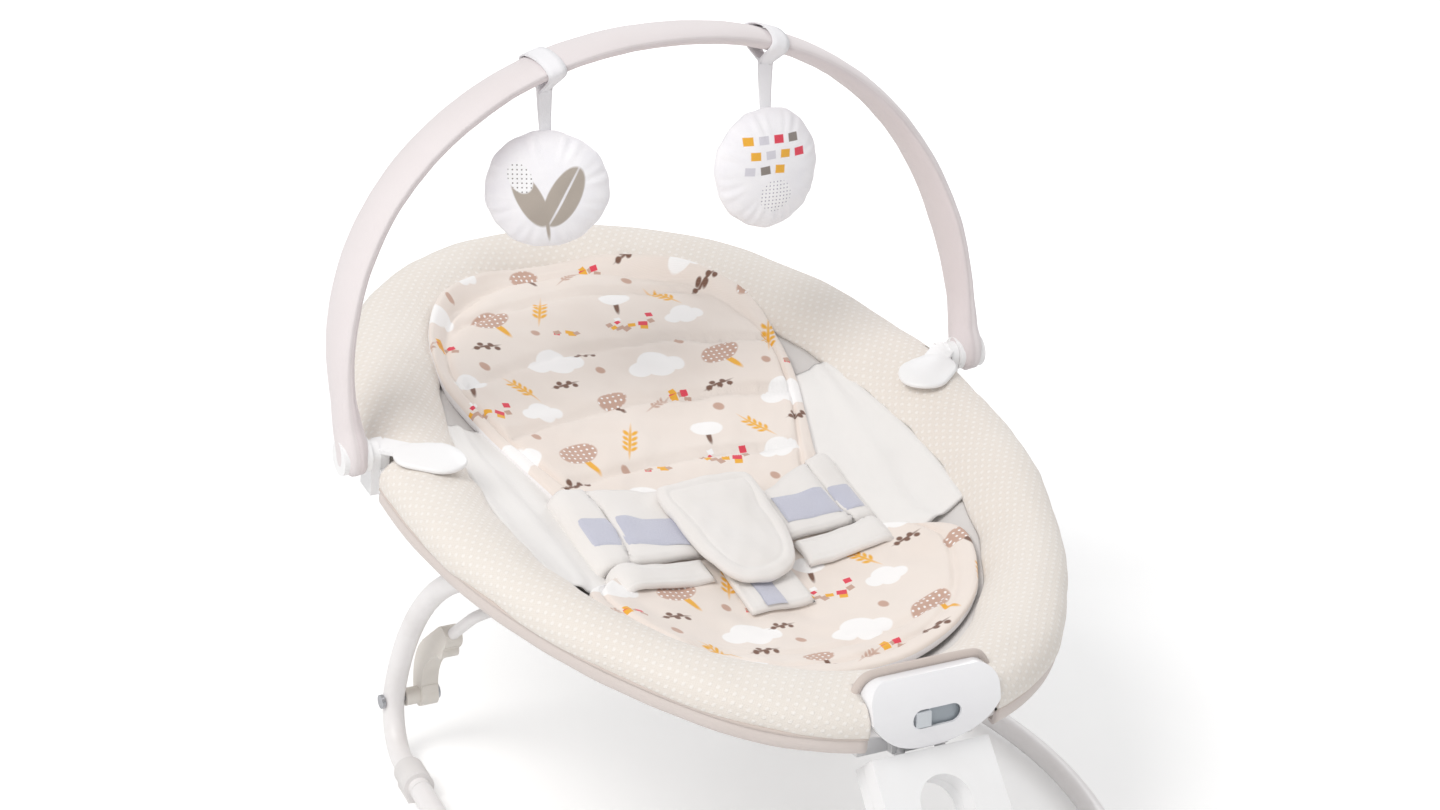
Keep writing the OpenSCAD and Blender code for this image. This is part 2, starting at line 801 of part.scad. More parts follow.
module crotch_pad() {
    outline = concat(crotch_pad_half,
        [for (i = [len(crotch_pad_half) - 2:-1:1])
            [2 * crotch_middle[0] - crotch_pad_half[i][0], crotch_pad_half[i][1]]]);
    color(cream) centred()
        in_seat()
            pad(outline, crotch_middle,
                function(x, s, r) crotch_base(x, s) + crotch_pad_t * (1 - 0.45 * pow(r, 4)),
                function(x, s, r) crotch_base(x, s),
                [1, 0.9, 0.7, 0.35]);
}

// ==== arch clips on the seat ring ====
pivot_y = 100;
pivot_z = 284;
pivot_out = pivot_y - seat_y;
pivot_up = pivot_z - seat_z;
pivot_s = pivot_out * cos(seat_tilt) + pivot_up * sin(seat_tilt);
pivot_w = pivot_up * cos(seat_tilt) - pivot_out * sin(seat_tilt);
ear_x = 243;
ear_t = 7;
ear_r = 10;
clip_low = 26;
clip_l = 32;
pad_x = 211;
pad_s = 17;
pad_w = 15;
pad_disc_r = 17;
arch_screw_r = 2;

module arch_clip() {
    in_seat()
        difference() {
            union() {
                translate([212.5, clip_low, -19]) cube([ear_x - 212.5 + 0.5, clip_l, 21]);
                translate([236, pivot_s - 9, 0]) cube([ear_x - 235.5, 18, pad_w + 3.5]);
                translate([ear_x, pivot_s, pivot_w])
                    rotate([0, 90, 0]) cylinder(r = ear_r, h = ear_t);
                translate([ear_x, pivot_s - ear_r, -19]) cube([ear_t, 2 * ear_r, pivot_w + 19]);
                translate([pad_x, pad_s, pad_w]) {
                    cylinder(r = pad_disc_r, h = 1.6);
                    rotate_extrude() {
                        square([pad_disc_r - 2, 3.6]);
                        translate([pad_disc_r - 2, 1.6]) circle(2);
                    }
                    rotate([0, 0, atan2(pivot_s - pad_s, 240 - pad_x)])
                        translate([0, -9, 0.3]) cube([norm([240 - pad_x, pivot_s - pad_s]), 18, 3.1]);
                }
            }
            translate([-side_offset, 0, hoop_w])
                rotate([0, 0, -20])
                    rotate_extrude(angle = 40, $fn = 96)
                        translate([seat_side_r - hoop_in, 0]) circle(hoop_r + slip);
            translate([200, clip_low - 5, hoop_w - 20])
                cube([seat_half_w - hoop_in - 200, clip_l + 10, 20 - hoop_r + 3]);
            translate([200, pivot_s, pivot_w])
                rotate([0, 90, 0]) cylinder(r = arch_screw_r + slip, h = 80);
            translate([200, pivot_s, pivot_w])
                rotate([0, 90, 0]) cylinder(r = 4.6, h = ear_x + 2.2 - 200);
        }
}

module arch_clip_right() {
    color(white_plastic) centred() arch_clip();
}

module arch_clip_left() {
    color(white_plastic) centred() mirror([1, 0, 0]) arch_clip();
}

// ==== toy arch ====
arch_power = 2 / 2.185;   // how square the arch's curve is
arch_lean = 0.325;
arch_curl = 0.000902;
boss_r = 13;
boss_x = ear_x + ear_t + gap;
boss_t = 22;
sleeve_start = 13.8;      // height above the pivot where the sleeve begins
sleeve_oval = [16.5, 8];
tube_oval = [11.5, 4.8];
tube_inner_oval = [9.5, 3];
plug_top = 26;

function arch_at(a) =
    let (h = arch_h * pow(abs(sin(a)), arch_power))
    [(cos(a) < 0 ? -1 : 1) * arch_half_w * pow(abs(cos(a)), arch_power),
        pivot_y + arch_lean * h - arch_curl * h * h, pivot_z + h];
arch_first = asin(pow(sleeve_start / arch_h, 1 / arch_power));
arch_path = [for (i = [0:44]) arch_at(arch_first + (180 - 2 * arch_first) * i / 44)];

// Hollow strip swept along a path
module tube_sweep(path, outer, inner, sides, up) {
    n = len(path);
    half = n * sides;
    points = concat(
        [for (i = [0:n - 1]) each sweep_ring(path, i, outer, sides, up)],
        [for (i = [0:n - 1]) each sweep_ring(path, i, inner, sides, up)]);
    skin = [for (i = [0:n - 2], k = [0:sides - 1])
        let (m = (k + 1) % sides)
        each [[(i + 1) * sides + k, (i + 1) * sides + m, i * sides + m],
            [(i + 1) * sides + k, i * sides + m, i * sides + k]]];
    last = (n - 1) * sides;
    polyhedron(points, concat(skin,
        [for (f = skin) [f[0] + half, f[2] + half, f[1] + half]],
        [for (k = [0:sides - 1])
            let (m = (k + 1) % sides)
            each [[k, m, m + half], [k, m + half, k + half],
                [last + m, last + k, last + k + half], [last + m, last + k + half, last + m + half]]]));
}

module arch_sleeve() {
    color(plain_beige) centred()
        tube_sweep(arch_path, sleeve_oval, tube_oval + [0.6, 0.6], 16, [0, 1, 0]);
}

module arch_strip() {
    color(white_plastic) centred()
        tube_sweep(arch_path, tube_oval, tube_inner_oval, 16, [0, 1, 0]);
}

module plug_outline() {
    translate([-5.2, 0]) circle(2);
    translate([5.2, 0]) circle(2);
    translate([-5.2, -2]) square([10.4, 4]);
}

module arch_end() {
    difference() {
        union() {
            translate([boss_x, pivot_y, pivot_z])
                rotate([0, 90, 0]) cylinder(r = boss_r, h = boss_t);
            translate([arch_half_w, pivot_y, pivot_z])
                rotate([-atan(arch_lean), 0, 0])
                    rotate([0, 0, 90]) linear_extrude(plug_top) plug_outline();
        }
        translate([boss_x - 1, pivot_y, pivot_z])
            rotate([0, 90, 0]) cylinder(r = arch_screw_r + 0.02, h = 15);
    }
}

module arch_end_right() {
    color(white_plastic) centred() arch_end();
}

module arch_end_left() {
    color(white_plastic) centred() mirror([1, 0, 0]) arch_end();
}

module arch_screws() {
    color(steel) centred()
        both_sides()
            translate([0, pivot_y, pivot_z])
                rotate([0, 90, 0]) {
                    translate([0, 0, ear_x - 0.6]) cylinder(r = 4, h = 2.6);
                    translate([0, 0, ear_x + 1.9]) cylinder(r = arch_screw_r, h = ear_t + 10);
                }
}

// ==== toys ====
toy_x = 92;
toy_a = acos(pow(toy_x / arch_half_w, 1 / arch_power));
toy_hang = arch_at(toy_a);
toy_hinge_z = toy_hang[2] - 17;
toy_drop_left = 91.6;
toy_drop_right = 98.6;
toy_t = 32;
tape_w = 14;
tape_t = 1.4;

module toy_loop() {
    path = [for (i = [-3:3]) arch_at(toy_a + i * 0.55)];
    tube_sweep(path, sleeve_oval + [1.9, 1.9], sleeve_oval + [0.5, 0.5], 24, [0, 1, 0]);
}

module toy_loop_right() {
    color(white_plastic) centred() toy_loop();
}

module toy_loop_left() {
    color(white_plastic) centred() mirror([1, 0, 0]) toy_loop();
}

module toy_tape(drop, r) {
    low = toy_hang[2] - drop + r + gap;
    translate([toy_x - tape_w / 2, toy_hang[1] - tape_t / 2, low]) cube([tape_w, tape_t, toy_hinge_z - low]);
    translate([toy_x - tape_w / 2, toy_hang[1], toy_hinge_z])
        rotate([0, 90, 0]) cylinder(r = 1.6, h = tape_w);
}

module toy_tape_right() {
    color(white_plastic) centred() toy_tape(toy_drop_right, toy_d / 2);
}

module toy_tape_left() {
    color(white_plastic) centred() mirror([1, 0, 0]) toy_tape(toy_drop_left, toy_d / 2);
}

// Plump disc standing on edge, facing the seat's foot end
module plump(half_w, half_h, drop) {
    outline = [for (i = [0:31]) [half_w * cos(i * 11.25), half_h * sin(i * 11.25)]];
    translate([toy_x, toy_hang[1], toy_hang[2] - drop])
        rotate([90, 0, 0])
            pad(outline, [0, 0],
                function(x, s, r) toy_t / 2 * pow(max(0, 1 - pow(r, 2.6)), 0.6) + 1,
                function(x, s, r) -toy_t / 2 * pow(max(0, 1 - pow(r, 2.6)), 0.6) - 1,
                [1, 0.96, 0.88, 0.75, 0.55, 0.3]);
}

module toy_left() {
    color(white_plastic) centred() mirror([1, 0, 0]) plump(toy_d / 2, toy_d / 2, toy_drop_left);
}

module toy_right() {
    color(white_plastic) centred() plump(toy_d / 2 * 0.92, toy_d / 2, toy_drop_right);
}

// ==== vibration unit ====
pod_top = 212;
pod_low = 157;
pod_curve_r = 45;         // bulge of the front face
pod_curve_y = -253;
pod_curve_z = 184;
pod_corner_r = 15;
pod_belly_r = 58;
pod_wall = 2.4;
pod_back = -270;
case_plate_t = 3;
case_low = 150;
case_high = 183.4;
case_back = -226;
case_half = 46;
slide_z = 183;
slide_half = 19;
slide_r = 7;
switch_x = -switch_travel / 2 - 4;  // the slider's middle at rest
hoop_socket_r = 10.4;

module pod_outline(inset) {
    half = pod_w / 2 - inset;
    r = pod_corner_r - inset;
    intersection() {
        translate([0, pod_low + pod_belly_r]) circle(pod_belly_r - inset, $fn = 96);
        union() {
            translate([-half, 100]) square([2 * half, pod_top - inset - r - 100]);
            translate([-half + r, 100]) square([2 * half - 2 * r, pod_top - inset - 100]);
            translate([half - r, pod_top - inset - r]) circle(r);
            translate([-half + r, pod_top - inset - r]) circle(r);
        }
    }
}

// The pod's outline from its bulged face back to a depth
module pod_body(inset, back) {
    intersection() {
        translate([0, back, 0])
            rotate([90, 0, 0])
                linear_extrude(60) pod_outline(inset);
        translate([-100, pod_curve_y, pod_curve_z])
            rotate([0, 90, 0]) cylinder(r = pod_curve_r - inset, h = 200, $fn = 96);
    }
}

module slide_outline(half, r) {
    translate([half - r, 0]) circle(r);
    translate([r - half, 0]) circle(r);
    translate([r - half, -r]) square([2 * half - 2 * r, 2 * r]);
}

module hoop_holes(r) {
    in_seat()
        both_sides()
            along(hoop_end - 12 * hoop_steps[2][1], hoop_steps[2][1])
                cylinder(r = r, h = hoop_plug_l + 12 + gap);
}

module case_screw_places() {
    for (x = [-34, 34])
        translate([x, 0, 199]) rotate([90, 0, 0]) children();
    for (x = [-16, 16])
        translate([x, 0, 165]) rotate([90, 0, 0]) children();
}

module vib_cover() {
    color(white_plastic) centred()
        difference() {
            union() {
                difference() {
                    pod_body(0, pod_back);
                    pod_body(pod_wall, pod_back + 1);
                }
                intersection() {
                    case_screw_places() translate([0, 0, -pod_back]) cylinder(r = 3, h = 30);
                    pod_body(0.5, pod_back);
                }
            }
            translate([0, -280, slide_z])
                rotate([90, 0, 0])
                    linear_extrude(30) slide_outline(slide_half, slide_r);
            case_screw_places() translate([0, 0, -pod_back - 1]) cylinder(r = 1.2, h = 8);
            hoop_holes(hoop_r + 1);
        }
}

door_pivot_y = -231;
door_pivot_z = 149;
lug_x = 25;
lug_t = 4.5;

module vib_case() {
    color(white_plastic) centred()
        difference() {
            union() {
                translate([0, pod_back + gap + case_plate_t, 0])
                    rotate([90, 0, 0])
                        linear_extrude(case_plate_t) pod_outline(0);
                battery_box();
                translate([-22, -276, case_low]) cube([44, 9, 6.6]);
                hoop_sockets();
                for (x = [-peg_x, peg_x])
                    translate([x, 0, 0]) leg_peg();
                for (x = [-18, 18])
                    translate([x, pod_back + gap + 1, 176])
                        rotate([90, 0, 0]) cylinder(r = 2, h = -board_y - 1.6 - 0.1 + pod_back + gap + 1);
                translate([-12, -272.1, 196]) cube([14, 5, 9]);
            }
            hoop_holes(hoop_r + slip);
            case_screw_places() translate([0, 0, 240]) cylinder(r = 1.6, h = 60);
            case_screw_places() translate([0, 0, 240]) cylinder(r = 3.4, h = -pod_back - gap - 1.8 - 240);
        }
}

// Box for the battery behind the pod, with cradle ribs and the door's two lugs
module battery_box() {
    front = pod_back + gap + 1;
    difference() {
        union() {
            difference() {
                translate([-case_half, front, case_low])
                    cube([2 * case_half, case_back - front, case_high - case_low]);
                translate([-case_half + pod_wall, front + 2, case_low + pod_wall])
                    cube([2 * case_half - 2 * pod_wall, case_back - front - 2 - pod_wall,
                        case_high - case_low - 2 * pod_wall]);
            }
            for (x = [-28.5, 26])
                translate([x, front + 1, case_low + 1])
                    cube([2.5, case_back - front - 2, case_high - case_low - 2]);
            for (x = [-lug_x - lug_t, lug_x])
                translate([x, door_pivot_y, door_pivot_z]) {
                    rotate([0, 90, 0]) cylinder(r = 3, h = lug_t);
                    translate([0, -3, 0]) cube([lug_t, 6, 2]);
                }
        }
        translate([-30, -264, case_low - 1]) cube([60, 27, 3.5]);
        translate([-lug_x + 0.4, -240, case_low - 1]) cube([2 * lug_x - 0.8, 12.5, 3.5]);
        translate([-40, door_pivot_y, door_pivot_z])
            rotate([0, 90, 0]) cylinder(r = 1 + slip, h = 80);
    }
}

// Short sockets that hold the hoop's two ends, inside the cover
module hoop_sockets() {
    intersection() {
        union() {
            in_seat()
                both_sides()
                    along(hoop_end + 6 * hoop_steps[2][1], hoop_steps[2][1])
                        cylinder(r = hoop_socket_r, h = hoop_plug_l - 6 + 2.5);
            both_sides()
                translate([30, -284, 177]) cube([14, 16, 8]);
        }
        union() {
            pod_body(pod_wall + gap, pod_back + gap + 1);
            translate([-46, -269, 150]) cube([92, 2, 60]);
        }
    }
}

module leg_peg() {
    in_leg() translate([0, 0, leg_top - 12]) cylinder(r = peg_r, h = 22);
}

module case_screws() {
    color(steel) centred()
        case_screw_places() {
            translate([0, 0, -pod_back - gap - 3.4]) cylinder(r = 3, h = 1.6);
            translate([0, 0, -pod_back - gap - 2]) cylinder(r = 1.15, h = 8);
        }
}

module switch_plate() {
    color(lilac_grey) centred()
        translate([-slide_half - 4, -293.2, slide_z - 11])
            cube([2 * slide_half + 8, 1.4, 22]);
}

module switch_slider() {
    color(white_plastic) centred() {
        translate([switch_x - 5.5, -299.2, slide_z - 5.4]) cube([11, 4.8, 10.8]);
        translate([switch_x - 7, -294.7, slide_z - 5.6]) cube([14, 1, 11.2]);
    }
}

board_y = -290.5;

module circuit_board() {
    color([0.2, 0.45, 0.3]) centred()
        translate([-22, board_y, slide_z - 11]) cube([44, 1.6, 22]);
}

motor_r = 7;
motor_l = 22;
shaft_r = 1;
module motor_place() {
    translate([-16, -279, 201]) rotate([0, 90, 0]) children();
}

module vib_motor() {
    color(steel) centred()
        motor_place()
            difference() {
                cylinder(r = motor_r, h = motor_l);
                translate([0, 0, motor_l - 8]) cylinder(r = shaft_r + slip, h = 9);
            }
}

// Off-centre weight with the motor's shaft
module motor_weight() {
    color(steel) centred()
        motor_place() {
            translate([0, 0, motor_l - 7]) cylinder(r = shaft_r, h = 14);
            translate([0, 0, motor_l + 1])
                difference() {
                    cylinder(r = 6, h = 5);
                    translate([-7, 1.5, -1]) cube([14, 14, 8]);
                }
        }
}

battery_y = -247;
battery_z = 167.6;

module battery_cell() {
    color([0.3, 0.35, 0.4]) centred()
        translate([-25, battery_y, battery_z])
            rotate([0, 90, 0]) {
                cylinder(r = 13, h = 48.4);
                translate([0, 0, 48.3]) cylinder(r = 3.4, h = 1.7);
            }
}

module battery_contacts() {
    color(steel) centred() {
        translate([25.1, battery_y - 8, battery_z - 8]) cube([0.6, 16, 16]);
        translate([-25.8, battery_y - 8, battery_z - 8]) cube([0.6, 16, 16]);
    }
}

module battery_door() {
    color(white_plastic) centred()
        difference() {
            union() {
                translate([-29.6, -263.6, door_pivot_z]) cube([59.2, 26.2, 2]);
                translate([-24.2, -239, door_pivot_z]) cube([48.4, 8, 2]);
                translate([-24.2, door_pivot_y, door_pivot_z]) rotate([0, 90, 0]) cylinder(r = 2, h = 48.4);
                translate([-lug_x - lug_t, door_pivot_y, door_pivot_z])
                    rotate([0, 90, 0]) cylinder(r = 1, h = 2 * (lug_x + lug_t));
            }
            translate([0, -260, door_pivot_z - 5]) cylinder(r = 1.6, h = 20);
        }
}

module door_screw() {
    color(steel) centred()
        translate([0, -260, door_pivot_z - 1.9]) {
            cylinder(r = 3, h = 1.8);
            translate([0, 0, 1.7]) cylinder(r = 1.5, h = 3);
        }
}

floor_tube();
floor_pads_front();
floor_pads_rear();
spring_arm_left();
spring_arm_right();
stand_rivets();
stand_bracket_left();
stand_bracket_right();
stand_wire();
seat_hoop();
arm_hub_left();
arm_hub_right();
leg_front();
leg_back();
leg_screws();
seat_cover();
cover_hem();
seat_pocket();
side_panel_left();
side_panel_right();
liner_pad();
waist_belt_left();
waist_belt_right();
belt_fastener_left();
belt_fastener_right();
belt_tail_left();
belt_tail_right();
crotch_strap();
crotch_pad();
arch_clip_left();
arch_clip_right();
arch_end_left();
arch_end_right();
arch_screws();
arch_strip();
arch_sleeve();
toy_loop_left();
toy_loop_right();
toy_tape_left();
toy_tape_right();
toy_left();
toy_right();
vib_cover();
vib_case();
case_screws();
switch_plate();
switch_slider();
circuit_board();
battery_cell();
battery_contacts();
vib_motor();
motor_weight();
battery_door();
door_screw();
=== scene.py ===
import json
import math

import bmesh
import bpy
import numpy as np
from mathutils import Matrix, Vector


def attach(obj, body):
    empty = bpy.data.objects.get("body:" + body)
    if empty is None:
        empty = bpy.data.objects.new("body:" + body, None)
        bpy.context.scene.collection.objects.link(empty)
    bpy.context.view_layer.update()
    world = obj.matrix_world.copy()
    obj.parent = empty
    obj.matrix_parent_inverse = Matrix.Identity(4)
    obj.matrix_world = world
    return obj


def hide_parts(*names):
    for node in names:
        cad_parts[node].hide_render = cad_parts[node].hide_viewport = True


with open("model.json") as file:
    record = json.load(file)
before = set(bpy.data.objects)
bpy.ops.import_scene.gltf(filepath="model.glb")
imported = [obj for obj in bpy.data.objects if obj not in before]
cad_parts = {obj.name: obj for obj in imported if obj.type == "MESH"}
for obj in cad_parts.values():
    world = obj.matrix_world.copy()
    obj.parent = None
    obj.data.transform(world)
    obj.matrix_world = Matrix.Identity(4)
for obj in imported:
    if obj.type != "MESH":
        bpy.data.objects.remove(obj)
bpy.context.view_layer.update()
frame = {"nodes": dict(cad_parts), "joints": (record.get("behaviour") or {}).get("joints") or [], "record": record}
NODES = frame["nodes"]
JOINTS = {j["name"]: j for j in frame["joints"]}
TAG = {-1: "left", 1: "right"}
MM = 0.001
PI = math.pi

# ---------------------------------------------------------------- camera, light, floor
LENS, SENSOR = 85.04, 36  # millimetres
CAMERA_AT, CAMERA_PITCH, CAMERA_YAW = (-1.097, -2.095, 1.149), 70.49, -27.45
SKY_LIGHT = 0.62  # the world's strength, where it isn't seen
FLOOR_HALF = 14.0  # metres
GLOW_SPAN, GLOW = (0.6, 2.4), (0.19, 0.62)  # the floor's glow rises outwards
scene = bpy.context.scene
scene.view_settings.view_transform = "Standard"
cam_data = bpy.data.cameras.new("camera")
cam_data.lens = LENS
cam_data.sensor_width = SENSOR
cam = bpy.data.objects.new("camera", cam_data)
cam.location = CAMERA_AT
cam.rotation_euler = (math.radians(CAMERA_PITCH), 0, math.radians(CAMERA_YAW))
scene.collection.objects.link(cam)
scene.camera = cam


def srgb(code):
    """Linear colour of a six-digit hex code."""
    parts = [int(code[i:i + 2], 16) / 255 for i in (0, 2, 4)]
    return tuple(c / 12.92 if c <= 0.04045 else ((c + 0.055) / 1.055) ** 2.4 for c in parts)


def shade(code, k):
    return tuple(c * k for c in srgb(code))


class Nodes:
    """A node tree, with short calls for the nodes that the recipes use."""

    def __init__(self, tree):
        self.tree = tree

    def add(self, kind, inputs=(), **settings):
        n = self.tree.nodes.new("ShaderNode" + kind)
        for k, v in settings.items():
            setattr(n, k, v)
        for k, v in dict(inputs).items():
            self.put(n, k, v)
        return n

    def put(self, node, key, value):
        if value is None:
            return
        if isinstance(value, bpy.types.NodeSocket):
            self.tree.links.new(value, node.inputs[key])
        elif isinstance(value, tuple) and len(value) == 3 and node.inputs[key].type == "RGBA":
            node.inputs[key].default_value = (*value, 1)
        else:
            node.inputs[key].default_value = value

    def math(self, op, a, b=None, c=None):
        return self.add("Math", {0: a, 1: b, 2: c}, operation=op).outputs[0]

    def vec(self, op, a, b, out=0):
        return self.add("VectorMath", {0: a, 1: b}, operation=op).outputs[out]

    def scaled(self, at, k):
        return self.add("VectorMath", {0: at, "Scale": k}, operation="SCALE").outputs[0]

    def split(self, at):
        return self.add("SeparateXYZ", {0: at}).outputs

    def hypot(self, u, v):
        squares = [self.math("MULTIPLY", a, a) for a in (u, v)]
        return self.math("SQRT", self.math("ADD", *squares))

    def mix(self, fac, a, b):
        return self.add("Mix", {0: fac, 6: a, 7: b}, data_type="RGBA").outputs[2]

    def uv(self):
        return self.add("UVMap", uv_map="flat").outputs[0]

    def place(self):
        return self.add("TexCoord").outputs["Object"]

    def noise(self, at, scale, detail=3, rough=0.5):
        return self.add("TexNoise", {"Vector": at, "Scale": scale, "Detail": detail,
                                     "Roughness": rough}).outputs[0]

    def ramp(self, value, low, high, to_low=0.0, to_high=1.0):
        return self.add("MapRange", {"Value": value, "From Min": low, "From Max": high,
                                     "To Min": to_low, "To Max": to_high}).outputs[0]

    def weave(self, at, pitch):
        """Height of a plain weave: 0 to 1, over coordinates in metres."""
        p = self.split(self.scaled(at, PI / pitch))
        a, b = self.math("SINE", p[0]), self.math("SINE", p[1])
        return self.math("MULTIPLY_ADD", self.math("MULTIPLY", a, b), 0.5, 0.5)

    def bump(self, height, distance, strength):
        return self.add("Bump", {"Height": height, "Distance": distance, "Strength": strength}).outputs[0]


class Shader(Nodes):
    """The nodes of a new material."""

    def __init__(self, name):
        self.material = bpy.data.materials.new(name)
        self.material.use_nodes = True
        super().__init__(self.material.node_tree)
        self.bsdf = self.tree.nodes["Principled BSDF"]
        self.out = self.tree.nodes["Material Output"]

    def done(self, color, rough, normal, **constants):
        for key, value in (("Base Color", color), ("Roughness", rough), ("Normal", normal)):
            self.put(self.bsdf, key, value)
        for key, value in constants.items():
            self.put(self.bsdf, key.replace("_", " "), value)
        return self.material


world = bpy.data.worlds.new("studio")
scene.world = world
world.use_nodes = True
sky = Nodes(world.node_tree)
rays = sky.add("LightPath").outputs
seen = sky.math("MAXIMUM", rays["Is Camera Ray"], rays["Is Transmission Ray"])
background = world.node_tree.nodes["Background"]
sky.put(background, "Strength", sky.ramp(seen, 0.0, 1.0, SKY_LIGHT, 1.0))
sky.put(background, "Color", (1.0, 1.0, 1.0))


def lamp(name, size, power, place, target, color):
    """A round area lamp: width in metres, watts, where it stands and what it is aimed at."""
    data = bpy.data.lights.new(name, "AREA")
    data.shape = "DISK"
    data.size = size
    data.energy = power
    data.color = color
    o = bpy.data.objects.new(name, data)
    o.location = place
    aim = Vector(target) - Vector(place)
    o.rotation_euler = aim.to_track_quat("-Z", "Y").to_euler()
    scene.collection.objects.link(o)


lamp("key", 1.6, 46, (-1.9, -0.9, 2.6), (0, 0, 0.25), (1, 0.985, 0.965))
lamp("rim", 1.4, 16, (1.9, 1.6, 1.7), (0, 0, 0.3), (0.97, 0.98, 1))


def studio_floor():
    """Pale paper that keeps the shadow, with a glow that only the camera sees."""
    s = Shader("floor_paper")
    base = s.mix(s.ramp(s.noise(s.place(), 3.0), 0.3, 0.7), srgb("F6F6F6"), srgb("FAFAFA"))
    s.done(base, 0.9, None, Specular_IOR_Level=0.1)
    far = s.add("VectorMath", {0: s.place()}, operation="LENGTH").outputs["Value"]
    glow = s.add("Emission", {"Color": (1.0, 1.0, 1.0), "Strength": s.ramp(far, *GLOW_SPAN, *GLOW)})
    black = s.add("Emission", {"Strength": 0.0})
    chosen = s.add("MixShader", {0: s.add("LightPath").outputs["Is Camera Ray"],
                                 1: black.outputs[0], 2: glow.outputs[0]})
    both = s.add("AddShader", {0: s.bsdf.outputs[0], 1: chosen.outputs[0]})
    s.put(s.out, 0, both.outputs[0])
    h = FLOOR_HALF
    m = bpy.data.meshes.new("floor")
    m.from_pydata([(-h, -h, 0), (h, -h, 0), (h, h, 0), (-h, h, 0)], [], [(0, 1, 2, 3)])
    m.materials.append(s.material)
    o = bpy.data.objects.new("floor", m)
    scene.collection.objects.link(o)


studio_floor()

# ---------------------------------------------------------------- the seat's own frame
PIVOT = np.array(JOINTS["toy_arch_tilt"]["pos_m"]) / MM  # the arch's two pivots, in millimetres
SEAT_AT = PIVOT - [0, 38, 20]  # the ring's widest place
TILT = math.radians(12.4)
CT, ST = math.cos(TILT), math.sin(TILT)


def to_world(p):
    """Points (across, along the seat, above it) in millimetres, as metres in the row frame."""
    p = np.asarray(p, float)
    x, s, w = p[..., 0], p[..., 1], p[..., 2]
    return np.stack([x, SEAT_AT[1] + s * CT - w * ST, SEAT_AT[2] + s * ST + w * CT], -1) * MM


def to_seat(p):
    p = np.asarray(p, float) / MM
    y, z = p[..., 1] - SEAT_AT[1], p[..., 2] - SEAT_AT[2]
    return np.stack([p[..., 0], y * CT + z * ST, -y * ST + z * CT], -1)


# The ring's edge: two side arcs, a head arc and a foot arc, as in the CAD source
HALF_W, HEAD, FOOT, SIDE_R = 245.0, 338.0, 372.0, 490.0
SIDE_OFF = SIDE_R - HALF_W


def end_radius(length):
    return (SIDE_R ** 2 - SIDE_OFF ** 2 - length ** 2) / (2 * (SIDE_R - length))


HEAD_R, FOOT_R = end_radius(HEAD), end_radius(FOOT)
HEAD_TURN = math.atan2(HEAD - HEAD_R, SIDE_OFF)
FOOT_TURN = math.atan2(FOOT - FOOT_R, SIDE_OFF)
# The opening: half width, middle, lengths towards head and foot, and the two halves' roundness
OPEN_W, OPEN_MID, OPEN_HEAD, OPEN_FOOT, POWER_HEAD, POWER_FOOT = 178.0, -30.0, 320.0, 262.0, 1.95, 2.1
LIP_DEPTH, FOOT_DIP, FOOT_RUN = 12, 12, 272  # the opening's edge below the ring
POCKET_GAP, POCKET_LEAST, POCKET_DEEP, POCKET_SLOPE = 4.5, 8, 34, 0.11


def edge(a):
    """Point of the ring's edge whose normal turns by a."""
    if math.sin(a) > math.sin(HEAD_TURN):
        c, r = (0.0, HEAD - HEAD_R), HEAD_R
    elif math.sin(a) < -math.sin(FOOT_TURN):
        c, r = (0.0, FOOT_R - FOOT), FOOT_R
    else:
        c, r = (-SIDE_OFF if math.cos(a) > 0 else SIDE_OFF, 0.0), SIDE_R
    return np.array([c[0] + r * math.cos(a), c[1] + r * math.sin(a)])


def rho(x, s):
    """How far out a spot is: 0 at the opening's middle and 1 at its edge."""
    x, t = np.asarray(x, float), np.asarray(s, float) - OPEN_MID
    length, n = np.where(t > 0, OPEN_HEAD, OPEN_FOOT), np.where(t > 0, POWER_HEAD, POWER_FOOT)
    return ((np.abs(x) / OPEN_W) ** n + (np.abs(t) / length) ** n) ** (1 / n)


def edge_level(s):
    s = np.asarray(s, float)
    return -LIP_DEPTH - np.where(s < 0, FOOT_DIP * (s / FOOT_RUN) ** 2, 0)


def pocket_level(x, s):
    deep = np.maximum(POCKET_LEAST, POCKET_DEEP - POCKET_SLOPE * np.asarray(s, float))
    return edge_level(s) - POCKET_GAP - deep * (1 - np.minimum(1, rho(x, s)) ** 3)


def stations(step):
    """Turns of the edge's normal at equal steps along it, once round from the right-hand side."""
    arcs = [(-FOOT_TURN, HEAD_TURN, SIDE_R), (HEAD_TURN, PI - HEAD_TURN, HEAD_R),
            (PI - HEAD_TURN, PI + FOOT_TURN, SIDE_R), (PI + FOOT_TURN, 2 * PI - FOOT_TURN, FOOT_R)]
    turns = []
    for a, b, r in arcs:
        n = max(4, round((b - a) * r / step))
        turns += [a + (b - a) * i / n for i in range(n)]
    return turns


# ---------------------------------------------------------------- mesh helpers
def fbm(p, wave, seed, octaves=2):
    """Smooth noise from a sum of turned sines, about -1 to 1, with that wavelength in millimetres."""
    rng = np.random.default_rng(seed)
    p = np.asarray(p, float)
    total, gain, norm = np.zeros(p.shape[:-1]), 1.0, 0.0
    for _ in range(octaves):
        for _ in range(5):
            d = rng.normal(size=p.shape[-1])
            d /= np.linalg.norm(d)
            k = 2 * PI / wave * rng.uniform(0.7, 1.4)
            total = total + gain * np.sin(k * (p @ d) + rng.uniform(0, 2 * PI))
            norm += gain * 0.5
        wave, gain = wave / 2, gain * 0.45
    return total / norm * 0.7


def unit(v):
    return v / np.linalg.norm(v, axis=-1, keepdims=True)


def lengths(p):
    """Distance run along a line of points, at each of them."""
    return np.concatenate([[0], np.cumsum(np.linalg.norm(np.diff(p, axis=0), axis=1))])


def groove(d, wide):
    return np.exp(-(d / wide) ** 2)


